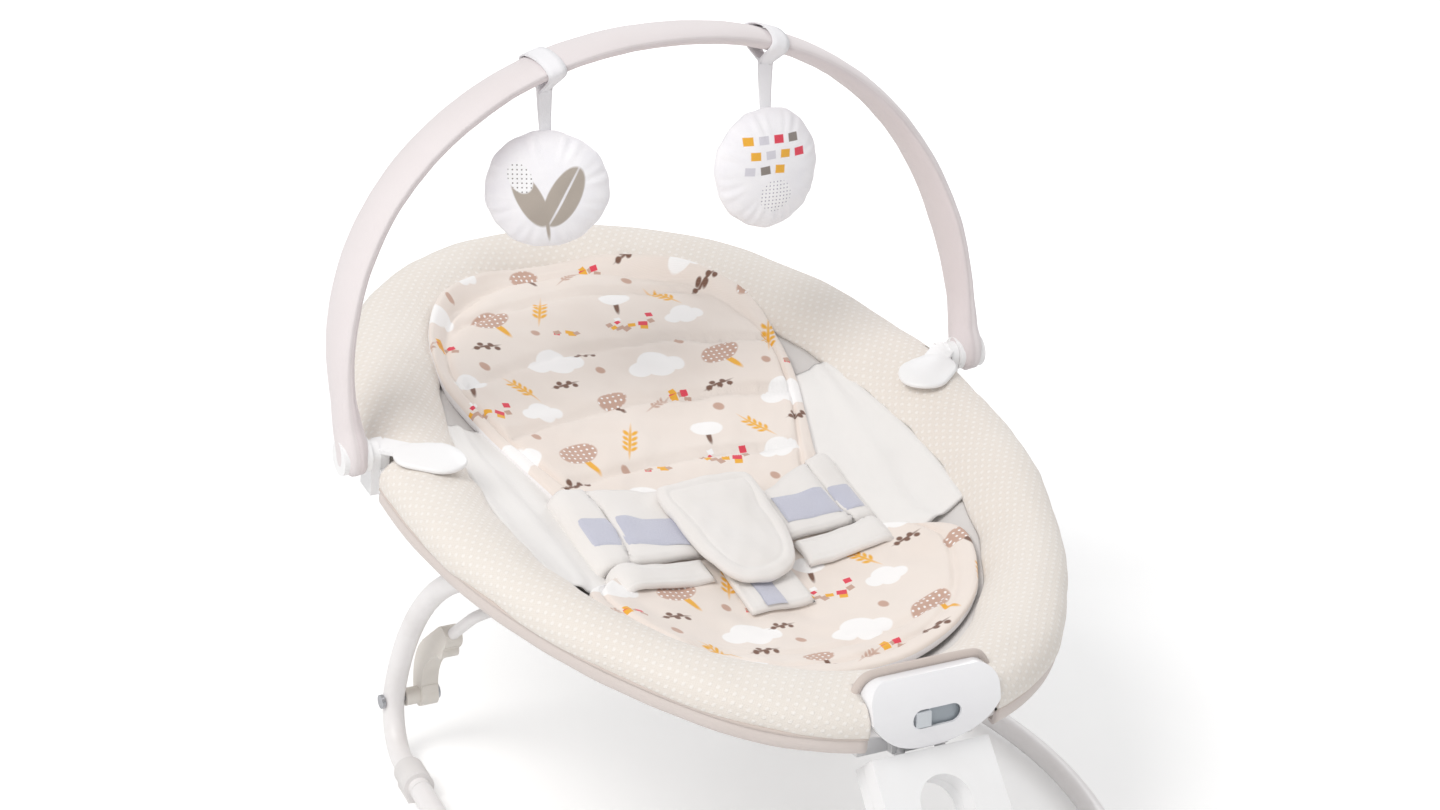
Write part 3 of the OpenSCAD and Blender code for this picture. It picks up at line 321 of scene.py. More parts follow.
def add_mesh(name, points, faces, material, uv, body="seat", row=False):
    """A piece that rides on a body, from points in millimetres in the seat's frame, or in the row
    frame (row), and a UV map in metres."""
    m = bpy.data.meshes.new(name)
    m.from_pydata((np.asarray(points) * MM if row else to_world(points)).tolist(), [], faces)
    m.polygons.foreach_set("use_smooth", [True] * len(m.polygons))
    o = bpy.data.objects.new(name, m)
    scene.collection.objects.link(o)
    index = np.zeros(len(m.loops), np.int32)
    m.loops.foreach_get("vertex_index", index)
    m.uv_layers.new(name="flat").data.foreach_set("uv", np.asarray(uv, np.float32)[index].ravel())
    m.materials.append(material)
    if body:
        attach(o, body)
    return o


def points_of(o):
    co = np.zeros(len(o.data.vertices) * 3)
    o.data.vertices.foreach_get("co", co)
    return co.reshape(-1, 3)


def set_points(o, co):
    o.data.vertices.foreach_set("co", np.asarray(co, np.float32).ravel())
    o.data.update()


def normals_of(o):
    n = np.zeros(len(o.data.vertices) * 3, np.float32)
    o.data.vertex_normals.foreach_get("vector", n)
    return n.reshape(-1, 3).astype(float)


def apply_modifiers(o):
    dg = bpy.context.evaluated_depsgraph_get()
    made = bpy.data.meshes.new_from_object(o.evaluated_get(dg), preserve_all_data_layers=True, depsgraph=dg)
    old = o.data
    o.modifiers.clear()
    o.data = made
    bpy.data.meshes.remove(old)


def fix_normals(o, weld=False):
    bm = bmesh.new()
    bm.from_mesh(o.data)
    if weld:
        bmesh.ops.remove_doubles(bm, verts=bm.verts, dist=1e-7)
    bmesh.ops.recalc_face_normals(bm, faces=bm.faces)
    bm.to_mesh(o.data)
    bm.free()


def grid_faces(n, m, close_n=False, close_m=False):
    faces = []
    for i in range(n if close_n else n - 1):
        for k in range(m if close_m else m - 1):
            j, l = (i + 1) % n, (k + 1) % m
            faces.append((i * m + k, j * m + k, j * m + l, i * m + l))
    return faces


def lidded_faces(n, sides):
    """n rings of points as a tube, with a flat lid at each end."""
    return grid_faces(n, sides, False, True) + [
        tuple(range(sides)), tuple((n - 1) * sides + k for k in range(sides - 1, -1, -1))]


def fanned_faces(layers, n):
    """Rings of n points, each end closed by a fan to one of the two points that follow them."""
    a, last = layers * n, (layers - 1) * n
    return grid_faces(layers, n, False, True) + [(a, (k + 1) % n, k) for k in range(n)] + [
        (a + 1, last + k, last + (k + 1) % n) for k in range(n)]


def shell_faces(n, m):
    """Two grids of n by m points, one after the other, joined round their rim."""
    top = grid_faces(n, m)
    faces = top + [tuple(reversed([v + n * m for v in f])) for f in top]
    rim = [k for k in range(m)] + [i * m + m - 1 for i in range(1, n)] + \
          [(n - 1) * m + k for k in range(m - 2, -1, -1)] + [i * m for i in range(n - 2, 0, -1)]
    for a, b in zip(rim, rim[1:] + rim[:1]):
        faces.append((b, a, a + n * m, b + n * m))
    return faces


def smooth_curve(points, n, closed=False):
    """n points at equal steps along a smooth curve through the given ones."""
    p = np.asarray(points, float)
    k = len(p)
    fine = []
    for i in range(k if closed else k - 1):
        if closed:
            a, b, c, d = (p[(i + j - 1) % k] for j in range(4))
        else:
            b, c = p[i], p[i + 1]
            a = p[i - 1] if i > 0 else 2 * b - c
            d = p[i + 2] if i + 2 < k else 2 * c - b
        for t in np.linspace(0, 1, 16, endpoint=False):
            fine.append(0.5 * (2 * b + (c - a) * t + (2 * a - 5 * b + 4 * c - d) * t ** 2
                               + (3 * b - a - 3 * c + d) * t ** 3))
    fine.append(fine[0] if closed else p[-1])
    fine = np.array(fine)
    run = lengths(fine)
    at = np.linspace(0, run[-1], n + 1)[:-1] if closed else np.linspace(0, run[-1], n)
    return np.stack([np.interp(at, run, fine[:, i]) for i in range(p.shape[1])], -1)


def tube(name, line, radius, sides, material):
    """A round cord of fabric, such as piping, along a line of points in the row frame."""
    p = np.asarray(line, float)
    t = unit(np.gradient(p, axis=0))
    side = unit(np.cross(t, [0, 0, 1.0]))
    top = np.cross(side, t)
    turns = 2 * PI * np.arange(sides) / sides
    pts = np.stack([p + radius * (math.cos(a) * side + math.sin(a) * top) for a in turns], 1).reshape(-1, 3)
    uv = np.stack([np.repeat(lengths(p), sides), np.tile(turns * radius, len(p))], -1) * MM
    o = add_mesh(name, pts, lidded_faces(len(p), sides), material, uv, row=True)
    fix_normals(o)
    return o


# ---------------------------------------------------------------- materials
def plain_fabric(name, color, warm, pitch=0.0009, rough=0.85, sheen=0.25, bump=0.00012):
    """Smooth woven cloth: a fine weave, faint slubs and cloudy colour."""
    s = Shader(name)
    at = s.uv()
    cloud = s.noise(at, 14, 4)
    slub = s.noise(s.vec("MULTIPLY", at, (60.0, 900.0, 1.0)), 1.0, 2)
    weave = s.weave(at, pitch)
    base = s.mix(s.ramp(cloud, 0.3, 0.75, 0, 0.55), srgb(color), srgb(warm))
    dark = shade(color, 0.86)
    base = s.mix(s.ramp(weave, 0.0, 0.5, 0.28, 0), base, dark)
    base = s.mix(s.ramp(slub, 0.55, 0.8, 0, 0.12), base, dark)
    height = s.math("ADD", weave, s.math("MULTIPLY", slub, 0.6))
    normal = s.bump(height, bump, 0.6)
    return s.done(base, s.ramp(cloud, 0.2, 0.8, rough - 0.06, rough + 0.05), normal,
                  Sheen_Weight=sheen, Sheen_Roughness=0.5, Specular_IOR_Level=0.25)


DOT_PITCH, DOT_SIZE = (0.0074, 0.0050), (0.0016, 0.0014)  # metres, across and along


def jacquard():
    """Cream cloth with paler raised dots in offset rows."""
    s = Shader("cream_jacquard")
    at = s.uv()
    drift = s.add("TexNoise", {"Vector": at, "Scale": 9.0, "Detail": 1.0}).outputs["Color"]
    p = s.split(s.vec("ADD", at, s.scaled(drift, 0.0035)))
    v = s.math("MULTIPLY", p[1], 1 / DOT_PITCH[1])
    half = s.math("MULTIPLY", s.math("FLOORED_MODULO", s.math("FLOOR", v), 2.0), 0.5)
    u = s.math("MULTIPLY_ADD", p[0], 1 / DOT_PITCH[0], half)
    du, dv = [s.math("MULTIPLY", s.math("SUBTRACT", s.math("FRACT", c), 0.5), pitch / size)
              for c, pitch, size in zip((u, v), DOT_PITCH, DOT_SIZE)]
    dot = s.ramp(s.hypot(du, dv), 0.72, 1.2, 1, 0)
    weave = s.weave(at, 0.0011)
    cloud = s.noise(at, 7, 4)
    ground = s.mix(s.ramp(cloud, 0.3, 0.72), srgb("ECE6DF"), srgb("E9E1D9"))
    ground = s.mix(s.ramp(weave, 0.0, 0.6, 0.18, 0), ground, srgb("D8CCBF"))
    base = s.mix(s.math("MULTIPLY", dot, 0.62), ground, srgb("F6F2EE"))
    height = s.math("ADD", s.math("MULTIPLY", dot, 1.5), s.math("MULTIPLY", weave, 0.7))
    normal = s.bump(height, 0.00022, 0.7)
    return s.done(base, s.ramp(dot, 0, 1, 0.86, 0.72), normal,
                  Sheen_Weight=0.3, Sheen_Roughness=0.45, Specular_IOR_Level=0.25)


def moulded(name, color, tint, rough, coat=0.0, speck=0.00005):
    """Injection-moulded plastic: a faint grain, slight mottling and softened wear."""
    s = Shader(name)
    at = s.place()
    grain = s.noise(at, 900, 2)
    mottle = s.noise(at, 18, 4)
    worn = s.noise(at, 70, 5, 0.65)
    base = s.mix(s.ramp(mottle, 0.35, 0.7), srgb(color), srgb(tint))
    base = s.mix(s.ramp(worn, 0.62, 0.8, 0, 0.10), base, shade(color, 0.82))
    normal = s.bump(grain, speck, 0.5)
    return s.done(base, s.ramp(worn, 0.3, 0.75, rough - 0.05, rough + 0.08), normal,
                  Coat_Weight=coat, Coat_Roughness=0.12, Specular_IOR_Level=0.45)


def painted(name, color):
    """Powder coat on steel tube: fine orange peel and a little dust."""
    s = Shader(name)
    at = s.place()
    peel = s.noise(at, 420, 3)
    dust = s.noise(at, 25, 5, 0.6)
    base = s.mix(s.ramp(dust, 0.45, 0.8, 0, 0.35), srgb(color), srgb("DAD5D2"))
    normal = s.bump(peel, 0.00008, 0.6)
    return s.done(base, s.ramp(dust, 0.3, 0.75, 0.32, 0.32 + 0.12), normal,
                  Coat_Weight=0.25, Coat_Roughness=0.25)


def metal(name, color):
    """Zinc-plated steel, brushed and a little stained."""
    s = Shader(name)
    at = s.place()
    brush = s.noise(s.vec("MULTIPLY", at, (1800.0, 90.0, 90.0)), 1.0, 3)
    stain = s.noise(at, 60, 4)
    base = s.mix(s.ramp(stain, 0.4, 0.8, 0, 0.5), srgb(color), shade(color, 0.7))
    return s.done(base, s.ramp(brush, 0.2, 0.8, 0.3 - 0.08, 0.3 + 0.15), s.bump(brush, 0.00004, 0.5),
                  Metallic=1.0)


M = {
    "jacquard": jacquard(),
    "hem": plain_fabric("hem_binding", "DDD3CE", "D5CAC5"),
    "hem_pipe": plain_fabric("hem_piping", "D3C7C0", "CBBEB6", 0.0007),
    "pocket": plain_fabric("pocket_cloth", "E0DDDB", "D8D3D0", 0.0007, sheen=0.15, rough=0.7),
    "panel": plain_fabric("panel_cloth", "F0EEEC", "E9E6E4", 0.0006, sheen=0.2, rough=0.6, bump=0.00006),
    "harness": plain_fabric("harness_cloth", "EDEAE8", "E6E1DC", 0.0008),
    "back": plain_fabric("white_backing", "F6F4F5", "EFECEE", 0.0008),
    "sleeve": plain_fabric("arch_cloth", "E8E1E2", "E2D9D9", 0.0008, sheen=0.3),
    "tape": plain_fabric("white_tape", "F4F3F6", "ECEBEF", 0.0011, bump=0.0002),
    "paint": painted("white_powder_coat", "F5F2F2"),
    "plastic": moulded("white_plastic", "F8F8F9", "F4F3F3", 0.38),
    "bracket": moulded("cream_white_plastic", "E9E4DD", "E2DCD4", 0.45),
    "pod": moulded("gloss_white_plastic", "F7F7F9", "F4F3F6", 0.2, coat=0.5, speck=0.00002),
    "grey": moulded("switch_grey_plastic", "B4BCC2", "A9B1B8", 0.42),
    "slider": moulded("slider_grey_plastic", "D9DDE1", "CFD4D9", 0.35),
    "steel": metal("zinc_steel", "B9BBC0"),
    "rubber": moulded("white_rubber", "ECE9E8", "E2DFDE", 0.75, speck=0.00012),
    "board": moulded("board_green", "2F5B41", "27503A", 0.45),
    "cell": moulded("cell_foil", "46505C", "3C4550", 0.3),
}
SLOT_LOOK = {
    "tube_paint": "paint", "plastic": "plastic", "pod_plastic": "pod", "switch_grey": "grey",
    "steel": "steel", "pad_rubber": "rubber", "board": "board", "cell_case": "cell",
    "jacquard": "jacquard", "plain_fabric": "hem", "pocket_fabric": "pocket", "liner_fabric": "back",
    "harness_fabric": "harness", "hook_and_loop": "harness", "sleeve_fabric": "sleeve",
    "plush": "back", "tape": "tape"}
NODE_LOOK = {"stand_bracket_left": "bracket", "stand_bracket_right": "bracket", "switch_slider": "slider"}
for part in frame["record"]["subparts"]:
    node = NODES[part["node"]]
    look = M[NODE_LOOK.get(part["node"], SLOT_LOOK[part["material_slot"]])]
    node.data.materials.clear()
    node.data.materials.append(look)


# ---------------------------------------------------------------- cover
# Points of the band's section: depth in millimetres, share of the way across, and level
COVER_SECTION = [
    (0, 0, -12), (-1.9, 0, -8), (-1.4, 0, 0), (1.5, 0, 5.4), (8, 0, 11), (0, 0.3, 14.2), (0, 0.45, 13.6),
    (0, 0.65, 9.6), (0, 0.85, 1.6), (0, 0.96, -6), (0, 1, -10.4),
    (0, 0.985, -13.4), (0, 0.85, -5.5), (0, 0.62, 1.5), (21, 0, 1.5), (17, 0, 0.5), (5, 0, 0), (3.4, 0, -7),
    (2.6, 0, -12)]
POD_NOTCH = (50.6, -337.5)  # half width, and how far up it reaches
CLIP_NOTCH = (232.0, 26.5, 57.5)  # from this far out, between these two
PAST = (300, 420, 60)  # clear of the ring, across, along and up


def across(a):
    """Outer point, inward direction and length of the line across the padded band, and how far the
    band's inner edge sinks."""
    outer = edge(a)
    inner = np.array([0, OPEN_MID]) + (outer - [0, OPEN_MID]) / rho(*outer)
    run = inner - outer
    length = float(np.linalg.norm(run))
    return outer, run / length, length, float(edge_level(inner[1])) + LIP_DEPTH


def band_point(a, depth, share, w):
    outer, inward, length, sink = across(a)
    q = outer + (depth + share * length) * inward
    return [q[0], q[1], w + sink * (max(0.0, share - 0.6) / 0.4)]


def cover():
    turns = stations(5.0)
    rings, flats = [], []
    n = 64
    for a in turns:
        ring = smooth_curve([band_point(a, *c) for c in COVER_SECTION], n, closed=True)
        outer, inward, _, _ = across(a)
        depth = (ring[:, :2] - outer) @ inward
        # distance along the skin from the crest, so that the dots run over the edge unstretched
        crest = int(np.argmax(ring[:, 2]))
        step = np.linalg.norm(np.roll(ring, -1, 0) - ring, axis=1)
        run = np.roll(np.concatenate([[0], np.cumsum(np.roll(step, -crest)[:-1])]), crest)
        total = step.sum()
        run = np.where(run > total / 2, run - total, run)
        rings.append(ring)
        flats.append(outer + (depth[crest] + run)[:, None] * inward)
    p, uv = np.array(rings).reshape(-1, 3), np.array(flats).reshape(-1, 2)
    o = add_mesh("seat_cover_cloth", p, grid_faces(len(turns), n, True, True), M["jacquard"],
                 uv * MM, body=None)
    fix_normals(o)
    # soft creases: long swells, and puckers that run across the band towards its inner edge
    nx, ny, nz = normals_of(o).T
    seat_n = np.stack([nx, ny * CT + nz * ST, -ny * ST + nz * CT], -1)
    angle = np.arctan2(p[:, 1], p[:, 0])
    share = np.clip(1 - (rho(p[:, 0], p[:, 1]) - 1) / 0.35, 0, 1)
    swell = 1.3 * fbm(p, 120, 3) + 0.5 * fbm(p, 42, 4)
    around = np.stack([np.cos(angle), np.sin(angle)], -1)
    pucker = 1.5 * fbm(around * 230, 46, 7, 1) * share ** 1.5
    set_points(o, to_world(p + seat_n * (swell + pucker)[:, None]))
    return o


def cut_box(o, lo, hi):
    """Cuts a box of the seat's frame out of a mesh."""
    corners = [(x, s, w) for x in (lo[0], hi[0]) for s in (lo[1], hi[1]) for w in (lo[2], hi[2])]
    faces = [(0, 1, 3, 2), (4, 6, 7, 5), (0, 4, 5, 1), (2, 3, 7, 6), (0, 2, 6, 4), (1, 5, 7, 3)]
    m = bpy.data.meshes.new("cutter")
    m.from_pydata(to_world(corners).tolist(), [], faces)
    c = bpy.data.objects.new("cutter", m)
    scene.collection.objects.link(c)
    fix_normals(c)
    mod = o.modifiers.new("cut", "BOOLEAN")
    mod.operation, mod.solver, mod.object = "DIFFERENCE", "EXACT", c
    bpy.context.view_layer.update()
    apply_modifiers(o)
    bpy.data.objects.remove(c)


def cut_notches(o):
    """The gaps in the padded ring for the vibration unit and the two arch clips."""
    cut_box(o, (-POD_NOTCH[0], -PAST[1], -PAST[2]), (*POD_NOTCH, PAST[2]))
    for side in (-1, 1):
        near, far = sorted((side * CLIP_NOTCH[0], side * PAST[0]))
        cut_box(o, (near, CLIP_NOTCH[1], -PAST[2]), (far, CLIP_NOTCH[2], PAST[2]))


cover_cloth = cover()
cut_notches(cover_cloth)
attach(cover_cloth, "seat")
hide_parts("seat_cover")


def ring_strip(name, section, material, step):
    """A closed ring that follows the cover's edge, from (depth, level) points of its section."""
    spots = [across(a)[:2] for a in stations(step)]
    around = lengths(section)
    pts, uv = [], []
    for (outer, inward), run in zip(spots, lengths([outer for outer, _ in spots])):
        for k, (d, w) in enumerate(section):
            pts.append((*(outer + d * inward), w))
            uv.append((run * MM, around[k] * MM))
    o = add_mesh(name, pts, grid_faces(len(spots), len(section), True, True), material, uv,
                 body=None)
    fix_normals(o)
    return o


HEM = [(0.8, -11.4), (-0.2, -13.0), (-0.9, -17.0), (-0.7, -21.0), (0.6, -24.0), (3.0, -24.8), (7.0, -24.4),
       (7.2, -22.6), (4.0, -22.2), (2.6, -20.0), (2.4, -12.0)]
PIPE_AT, PIPE_R = (0.2, -11.4), 1.7
hem = ring_strip("cover_hem_cloth", smooth_curve(HEM, 40, closed=True), M["hem"], 6.0)
co = to_seat(points_of(hem))
co[:, 2] += 0.5 * fbm(co, 60, 11)
set_points(hem, to_world(co))
cut_notches(hem)
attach(hem, "seat")
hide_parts("cover_hem")
piping = ring_strip("cover_piping", [(PIPE_AT[0] + PIPE_R * math.cos(t), PIPE_AT[1] + PIPE_R * math.sin(t))
                                     for t in np.linspace(0, 2 * PI, 10, endpoint=False)],
                    M["hem_pipe"], 4.0)
cut_notches(piping)
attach(piping, "seat")


# ---------------------------------------------------------------- pocket, panels and liner
def outline_reach(outline, middle, far):
    """A function of (x, s): the value of far where the ray from the middle meets the outline."""
    angle = np.arctan2(outline[:, 1] - middle[1], outline[:, 0] - middle[0])
    order = np.argsort(angle)
    return lambda x, s: np.interp(np.arctan2(s - middle[1], x - middle[0]), angle[order], far[order],
                                  period=2 * PI)


def depth_inside(outline, middle):
    """A function of (x, s): how far inside the outline a spot is, along the ray from the middle."""
    reach = outline_reach(outline, middle, np.hypot(*(outline - middle).T))
    return lambda x, s: reach(x, s) - np.hypot(x - middle[0], s - middle[1])


EDGE_POINTS = np.array([edge(a) for a in np.linspace(-PI, PI, 721)])
edge_rho = outline_reach(EDGE_POINTS, (0, OPEN_MID), rho(EDGE_POINTS[:, 0], EDGE_POINTS[:, 1]))
SKIN_SHARE = [0.45, 0.65, 0.85, 0.96, 1.0]
SKIN_LEVEL = [13.6, 9.6, 1.6, -6.0, -13.0]
SOFTEN = 7.0  # how far the liner bridges the steps below it
FOOT_RAISE = 4.5


def bed_level(x, s):
    """What the liner lies on: the pocket, and near the head the cover's inner slope."""
    reach = edge_rho(x, s)
    share = (reach - rho(x, s)) / (reach - 1)  # 1 at the band's inner edge, 0 at its outer
    skin = np.where(share < 1, np.interp(np.minimum(share, 1), SKIN_SHARE, SKIN_LEVEL) + 1.0, -99)
    return np.maximum(pocket_level(x, s) + 1.2, skin)


def soft_level(x, s):
    total = 0.0
    for a in np.linspace(0, 2 * PI, 8, endpoint=False):
        total = total + bed_level(x + SOFTEN * math.cos(a), s + SOFTEN * math.sin(a))
    raised = FOOT_RAISE * np.clip((-np.asarray(s, float) - 200) / 55, 0, 1)
    return (total + 2 * bed_level(x, s)) / 10 + raised


def polar_pad(name, outline, middle, top, bottom, shares, rim, material, back=None, under=5):
    """A closed pad over an outline: top and bottom are functions of (x, s, share of the way out)."""
    o2, mid = np.asarray(outline, float), np.asarray(middle, float)
    n, tops = len(o2), len(shares)

    def layer(level, f):
        q = mid + (o2 - mid) * f
        return np.column_stack([q, level(q[:, 0], q[:, 1], np.full(n, f))])
    layers = [layer(top, f) for f in shares]
    out = unit(o2 - mid)
    hi, lo = layers[-1][:, 2], bottom(o2[:, 0], o2[:, 1], np.ones(n))
    for k in range(1, 6):
        t = PI / 2 - PI * k / 6
        q = o2 + out * rim * math.cos(t)
        layers.append(np.column_stack([q, (hi + lo) / 2 + (hi - lo) / 2 * math.sin(t)]))
    layers += [layer(bottom, f) for f in np.linspace(1, shares[0], under)]
    ends = [[*mid, float(level(mid[:1], mid[1:], np.zeros(1))[0])] for level in (top, bottom)]
    pts = np.concatenate(layers + [ends])
    faces = fanned_faces(len(layers), n)
    o = add_mesh(name, pts, faces, material, pts[:, :2] * MM)
    if back:
        o.data.materials.append(back)
        index = np.ones(len(faces), np.int32)
        index[:(tops + 1) * n] = 0
        index[len(faces) - 2 * n:len(faces) - n] = 0
        o.data.polygons.foreach_set("material_index", index)
    fix_normals(o)
    return o


def pocket():
    rim = np.array([edge(a) for a in stations(7.0)])
    lip = np.array([0, OPEN_MID]) + (rim - [0, OPEN_MID]) / rho(rim[:, 0], rim[:, 1])[:, None] * 1.03
    shares = np.concatenate([np.linspace(0.06, 0.8, 16), np.linspace(0.83, 1, 9)])

    def top(x, s, f):
        r = rho(x, s)
        lift = 3.0 * np.clip((r - 0.88) / 0.1, 0, 1) ** 2
        folds = 1.1 * fbm(np.stack([x, s], -1), 90, 21) * np.clip((1 - r) * 5, 0, 1)
        return pocket_level(x, s) + lift + folds
    o = polar_pad("seat_pocket_cloth", lip, (0, OPEN_MID), top, lambda x, s, f: top(x, s, f) - 2.6,
                  shares, 0.8, M["pocket"], under=20)
    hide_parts("seat_pocket")


def mirrored(half, middle=0):
    """A whole outline from its right half, whose two ends lie on the line x = middle."""
    return half + [(2 * middle - x, s) for x, s in half[-2:0:-1]]


LINER_HALF = [
    (0, -268), (28, -267), (55, -262), (81, -252), (102, -238), (119, -221), (132, -200), (142, -180),
    (149, -160), (150, -142), (142, -125), (125, -112), (110, -98), (104, -78), (103, -40), (104, -20),
    (108, 2), (120, 40), (132, 78), (140, 115), (143, 150), (139, 182), (127, 212), (109, 240),
    (86, 260), (58, 277), (28, 286), (0, 288.5)]
LINER_MID = (0.0, -40.0)
LINER_OUT = smooth_curve(mirrored(LINER_HALF), 260, closed=True)
liner_depth = depth_inside(LINER_OUT, LINER_MID)
LINER_T, LINER_RIM_T = 15.0, 9.0  # thickness inside, and at the outline
QUILT_ARCS = [(206, 34), (140, 30), (72, 26), (4, 22), (-205, -20)]  # place and rise of each
QUILT_DEPTH, QUILT_WIDE = 4.2, 4.0
RIM_SEAM, RIM_SEAM_DEPTH, RIM_SEAM_WIDE = 15.0, 3.6, 3.0


def liner_top(x, s):
    x, s = np.asarray(x, float), np.asarray(s, float)
    d = liner_depth(x, s)
    t = LINER_RIM_T + (LINER_T - LINER_RIM_T) * np.clip(d / 26, 0, 1) ** 0.7
    sewn = RIM_SEAM_DEPTH * groove(d - RIM_SEAM, RIM_SEAM_WIDE)
    for at, rise in QUILT_ARCS:
        line = at + rise * (1 - (x / 120) ** 2)
        sewn = sewn + QUILT_DEPTH * groove(s - line, QUILT_WIDE) * np.clip((d - RIM_SEAM) / 8, 0, 1)
    p = np.stack([x, s], -1)
    soft = 1.9 * fbm(p, 80, 31) + 1.3 * fbm(p, 36, 32)
    near = np.clip(d / 12, 0.25, 1)
    return soft_level(x, s) + 1.0 + t - sewn + soft * near


PRINT_SCALE, PRINT_PITCH, PRINT_DROP = 1.15, (142.0, 150.0), 75.0
WHITE_INK, DUSTY, MUSTARD, BROWN, RED, ASH = "FBFAFA", "C9A797", "F0B23A", "7A5A4C", "E4455A", "B3A99F"


def pattern_point(s, at):
    """Coordinates in millimetres inside a half-drop repeat, from metres."""
    p = s.split(s.scaled(at, 1000.0 / PRINT_SCALE))
    col = s.math("FLOOR", s.math("DIVIDE", p[0], PRINT_PITCH[0]))
    shifted = s.math("MULTIPLY_ADD", s.math("FLOORED_MODULO", col, 2.0), PRINT_DROP, p[1])
    u = s.math("FLOORED_MODULO", p[0], PRINT_PITCH[0])
    v = s.math("FLOORED_MODULO", shifted, PRINT_PITCH[1])
    return s.add("CombineXYZ", {0: u, 1: v, 2: 0.0}).outputs[0]


class Print:
    """Motifs laid one over another on a ground colour, placed in millimetres."""

    def __init__(self, s, at, base):
        self.s, self.at, self.base = s, at, base

    def ink(self, mask, color):
        self.base = self.s.mix(mask, self.base, srgb(color))

    def local(self, x, y, rx, ry, turn):
        """Two coordinates from the middle of a motif, turned, in units of its half sizes."""
        c, d = math.cos(math.radians(turn)), math.sin(math.radians(turn))
        q = self.s.vec("SUBTRACT", self.at, (x, y, 0.0))
        return [self.s.vec("DOT_PRODUCT", q, axis, "Value")
                for axis in ((c / rx, d / rx, 0.0), (-d / ry, c / ry, 0.0))]

    def blob(self, x, y, rx, ry=None, turn=0.0):
        ry = ry or rx
        soft = 0.5 / min(rx, ry)
        u, v = self.local(x, y, rx, ry, turn)
        far = self.s.math("MULTIPLY_ADD", u, u, self.s.math("MULTIPLY", v, v))
        return self.s.ramp(far, (1 + soft) ** 2, max(0.0, 1 - soft) ** 2)

    def patch(self, x, y, rx, ry, turn):
        far = self.s.math("MAXIMUM", *[self.s.math("ABSOLUTE", c) for c in self.local(x, y, rx, ry, turn)])
        return self.s.ramp(far, 1.08, 0.92)

    def dotted(self, mask, pitch, radius):
        """Round dots, inside a mask."""
        p = self.s.split(self.at)
        u, v = [self.s.math("SUBTRACT", self.s.math("FRACT", self.s.math("DIVIDE", c, pitch)), 0.5)
                for c in (p[0], p[1])]
        far = self.s.hypot(u, v)
        return self.s.math("MULTIPLY", mask, self.s.ramp(far, radius / pitch + 0.06, radius / pitch - 0.06))

    def sprig(self, x, y, size, turn, color):
        """A stem with four pairs of leaves."""
        c, d = math.cos(math.radians(turn)), math.sin(math.radians(turn))
        self.ink(self.blob(x, y, size, size * 0.07, turn), color)
        for k in range(4):
            f = -0.55 + 0.42 * k
            for side in (-1, 1):
                q = (f * size * c - side * 0.22 * size * d, f * size * d + side * 0.22 * size * c)
                self.ink(self.blob(x + q[0], y + q[1], size * 0.22, size * 0.10, turn + side * 38), color)

    def berries(self, x, y, size):
        for dx, dy in ((-1, 0.1), (-0.45, 0.62), (0.1, 0.0), (0.62, 0.5), (1.15, -0.05)):
            self.ink(self.blob(x + dx * size, y + dy * size, size * 0.30), BROWN)
        self.ink(self.blob(x + 0.1 * size, y + 0.25 * size, size * 1.2, size * 0.13, 8), BROWN)

    def cloud(self, x, y, size):
        for dx, dy, r in ((-0.7, -0.1, 0.52), (0.0, 0.18, 0.72), (0.72, -0.08, 0.5), (0.1, -0.25, 0.6)):
            self.ink(self.blob(x + dx * size, y + dy * size, r * size, r * size * 0.86), WHITE_INK)

    def toadstool(self, x, y, size, turn, cap, stem):
        c, d = math.cos(math.radians(turn)), math.sin(math.radians(turn))
        foot = (x + 0.75 * size * d, y - 0.75 * size * c)
        self.ink(self.blob(*foot, size * 0.16, size * 0.72, turn), stem)
        shape = self.blob(x, y, size, size * 0.62, turn)
        spots = self.dotted(shape, 4.2, 0.85)
        self.ink(shape, cap)
        self.ink(spots, WHITE_INK)

    def confetti(self, x, y, seed, spread, count):
        rng = np.random.default_rng(seed)
        inks = [MUSTARD, RED, DUSTY, MUSTARD, DUSTY, RED, MUSTARD, WHITE_INK, DUSTY]
        for k in range(count):
            a, r = rng.uniform(0, 2 * PI), spread * math.sqrt(rng.uniform(0.05, 1))
            w, h = rng.uniform(1.9, 3.4), rng.uniform(1.5, 2.4)
            self.ink(self.patch(x + r * math.cos(a), y + 0.5 * r * math.sin(a), w, h, rng.uniform(-25, 25)),
                     inks[k % len(inks)])


PRINT = (  # motif, x, y, size and the rest of each
    (Print.cloud, 30, 118, 17), (Print.cloud, 104, 62, 17), (Print.cloud, 72, 12, 12),
    (Print.toadstool, 126, 16, 11, 10, DUSTY, BROWN), (Print.toadstool, 78, 116, 15, 18, DUSTY, MUSTARD),
    (Print.toadstool, 34, 46, 11, -14, WHITE_INK, BROWN),
    (Print.sprig, 118, 120, 13, 64, MUSTARD), (Print.sprig, 68, 38, 11, 118, MUSTARD),
    (Print.sprig, 14, 80, 9, 30, DUSTY),
    (Print.berries, 62, 84, 7), (Print.berries, 100, 36, 6.4), (Print.berries, 128, 66, 5.6),
    (Print.confetti, 34, 16, 5, 19, 12), (Print.confetti, 34, 84, 8, 11, 6), (Print.confetti, 124, 90, 3, 9, 5))


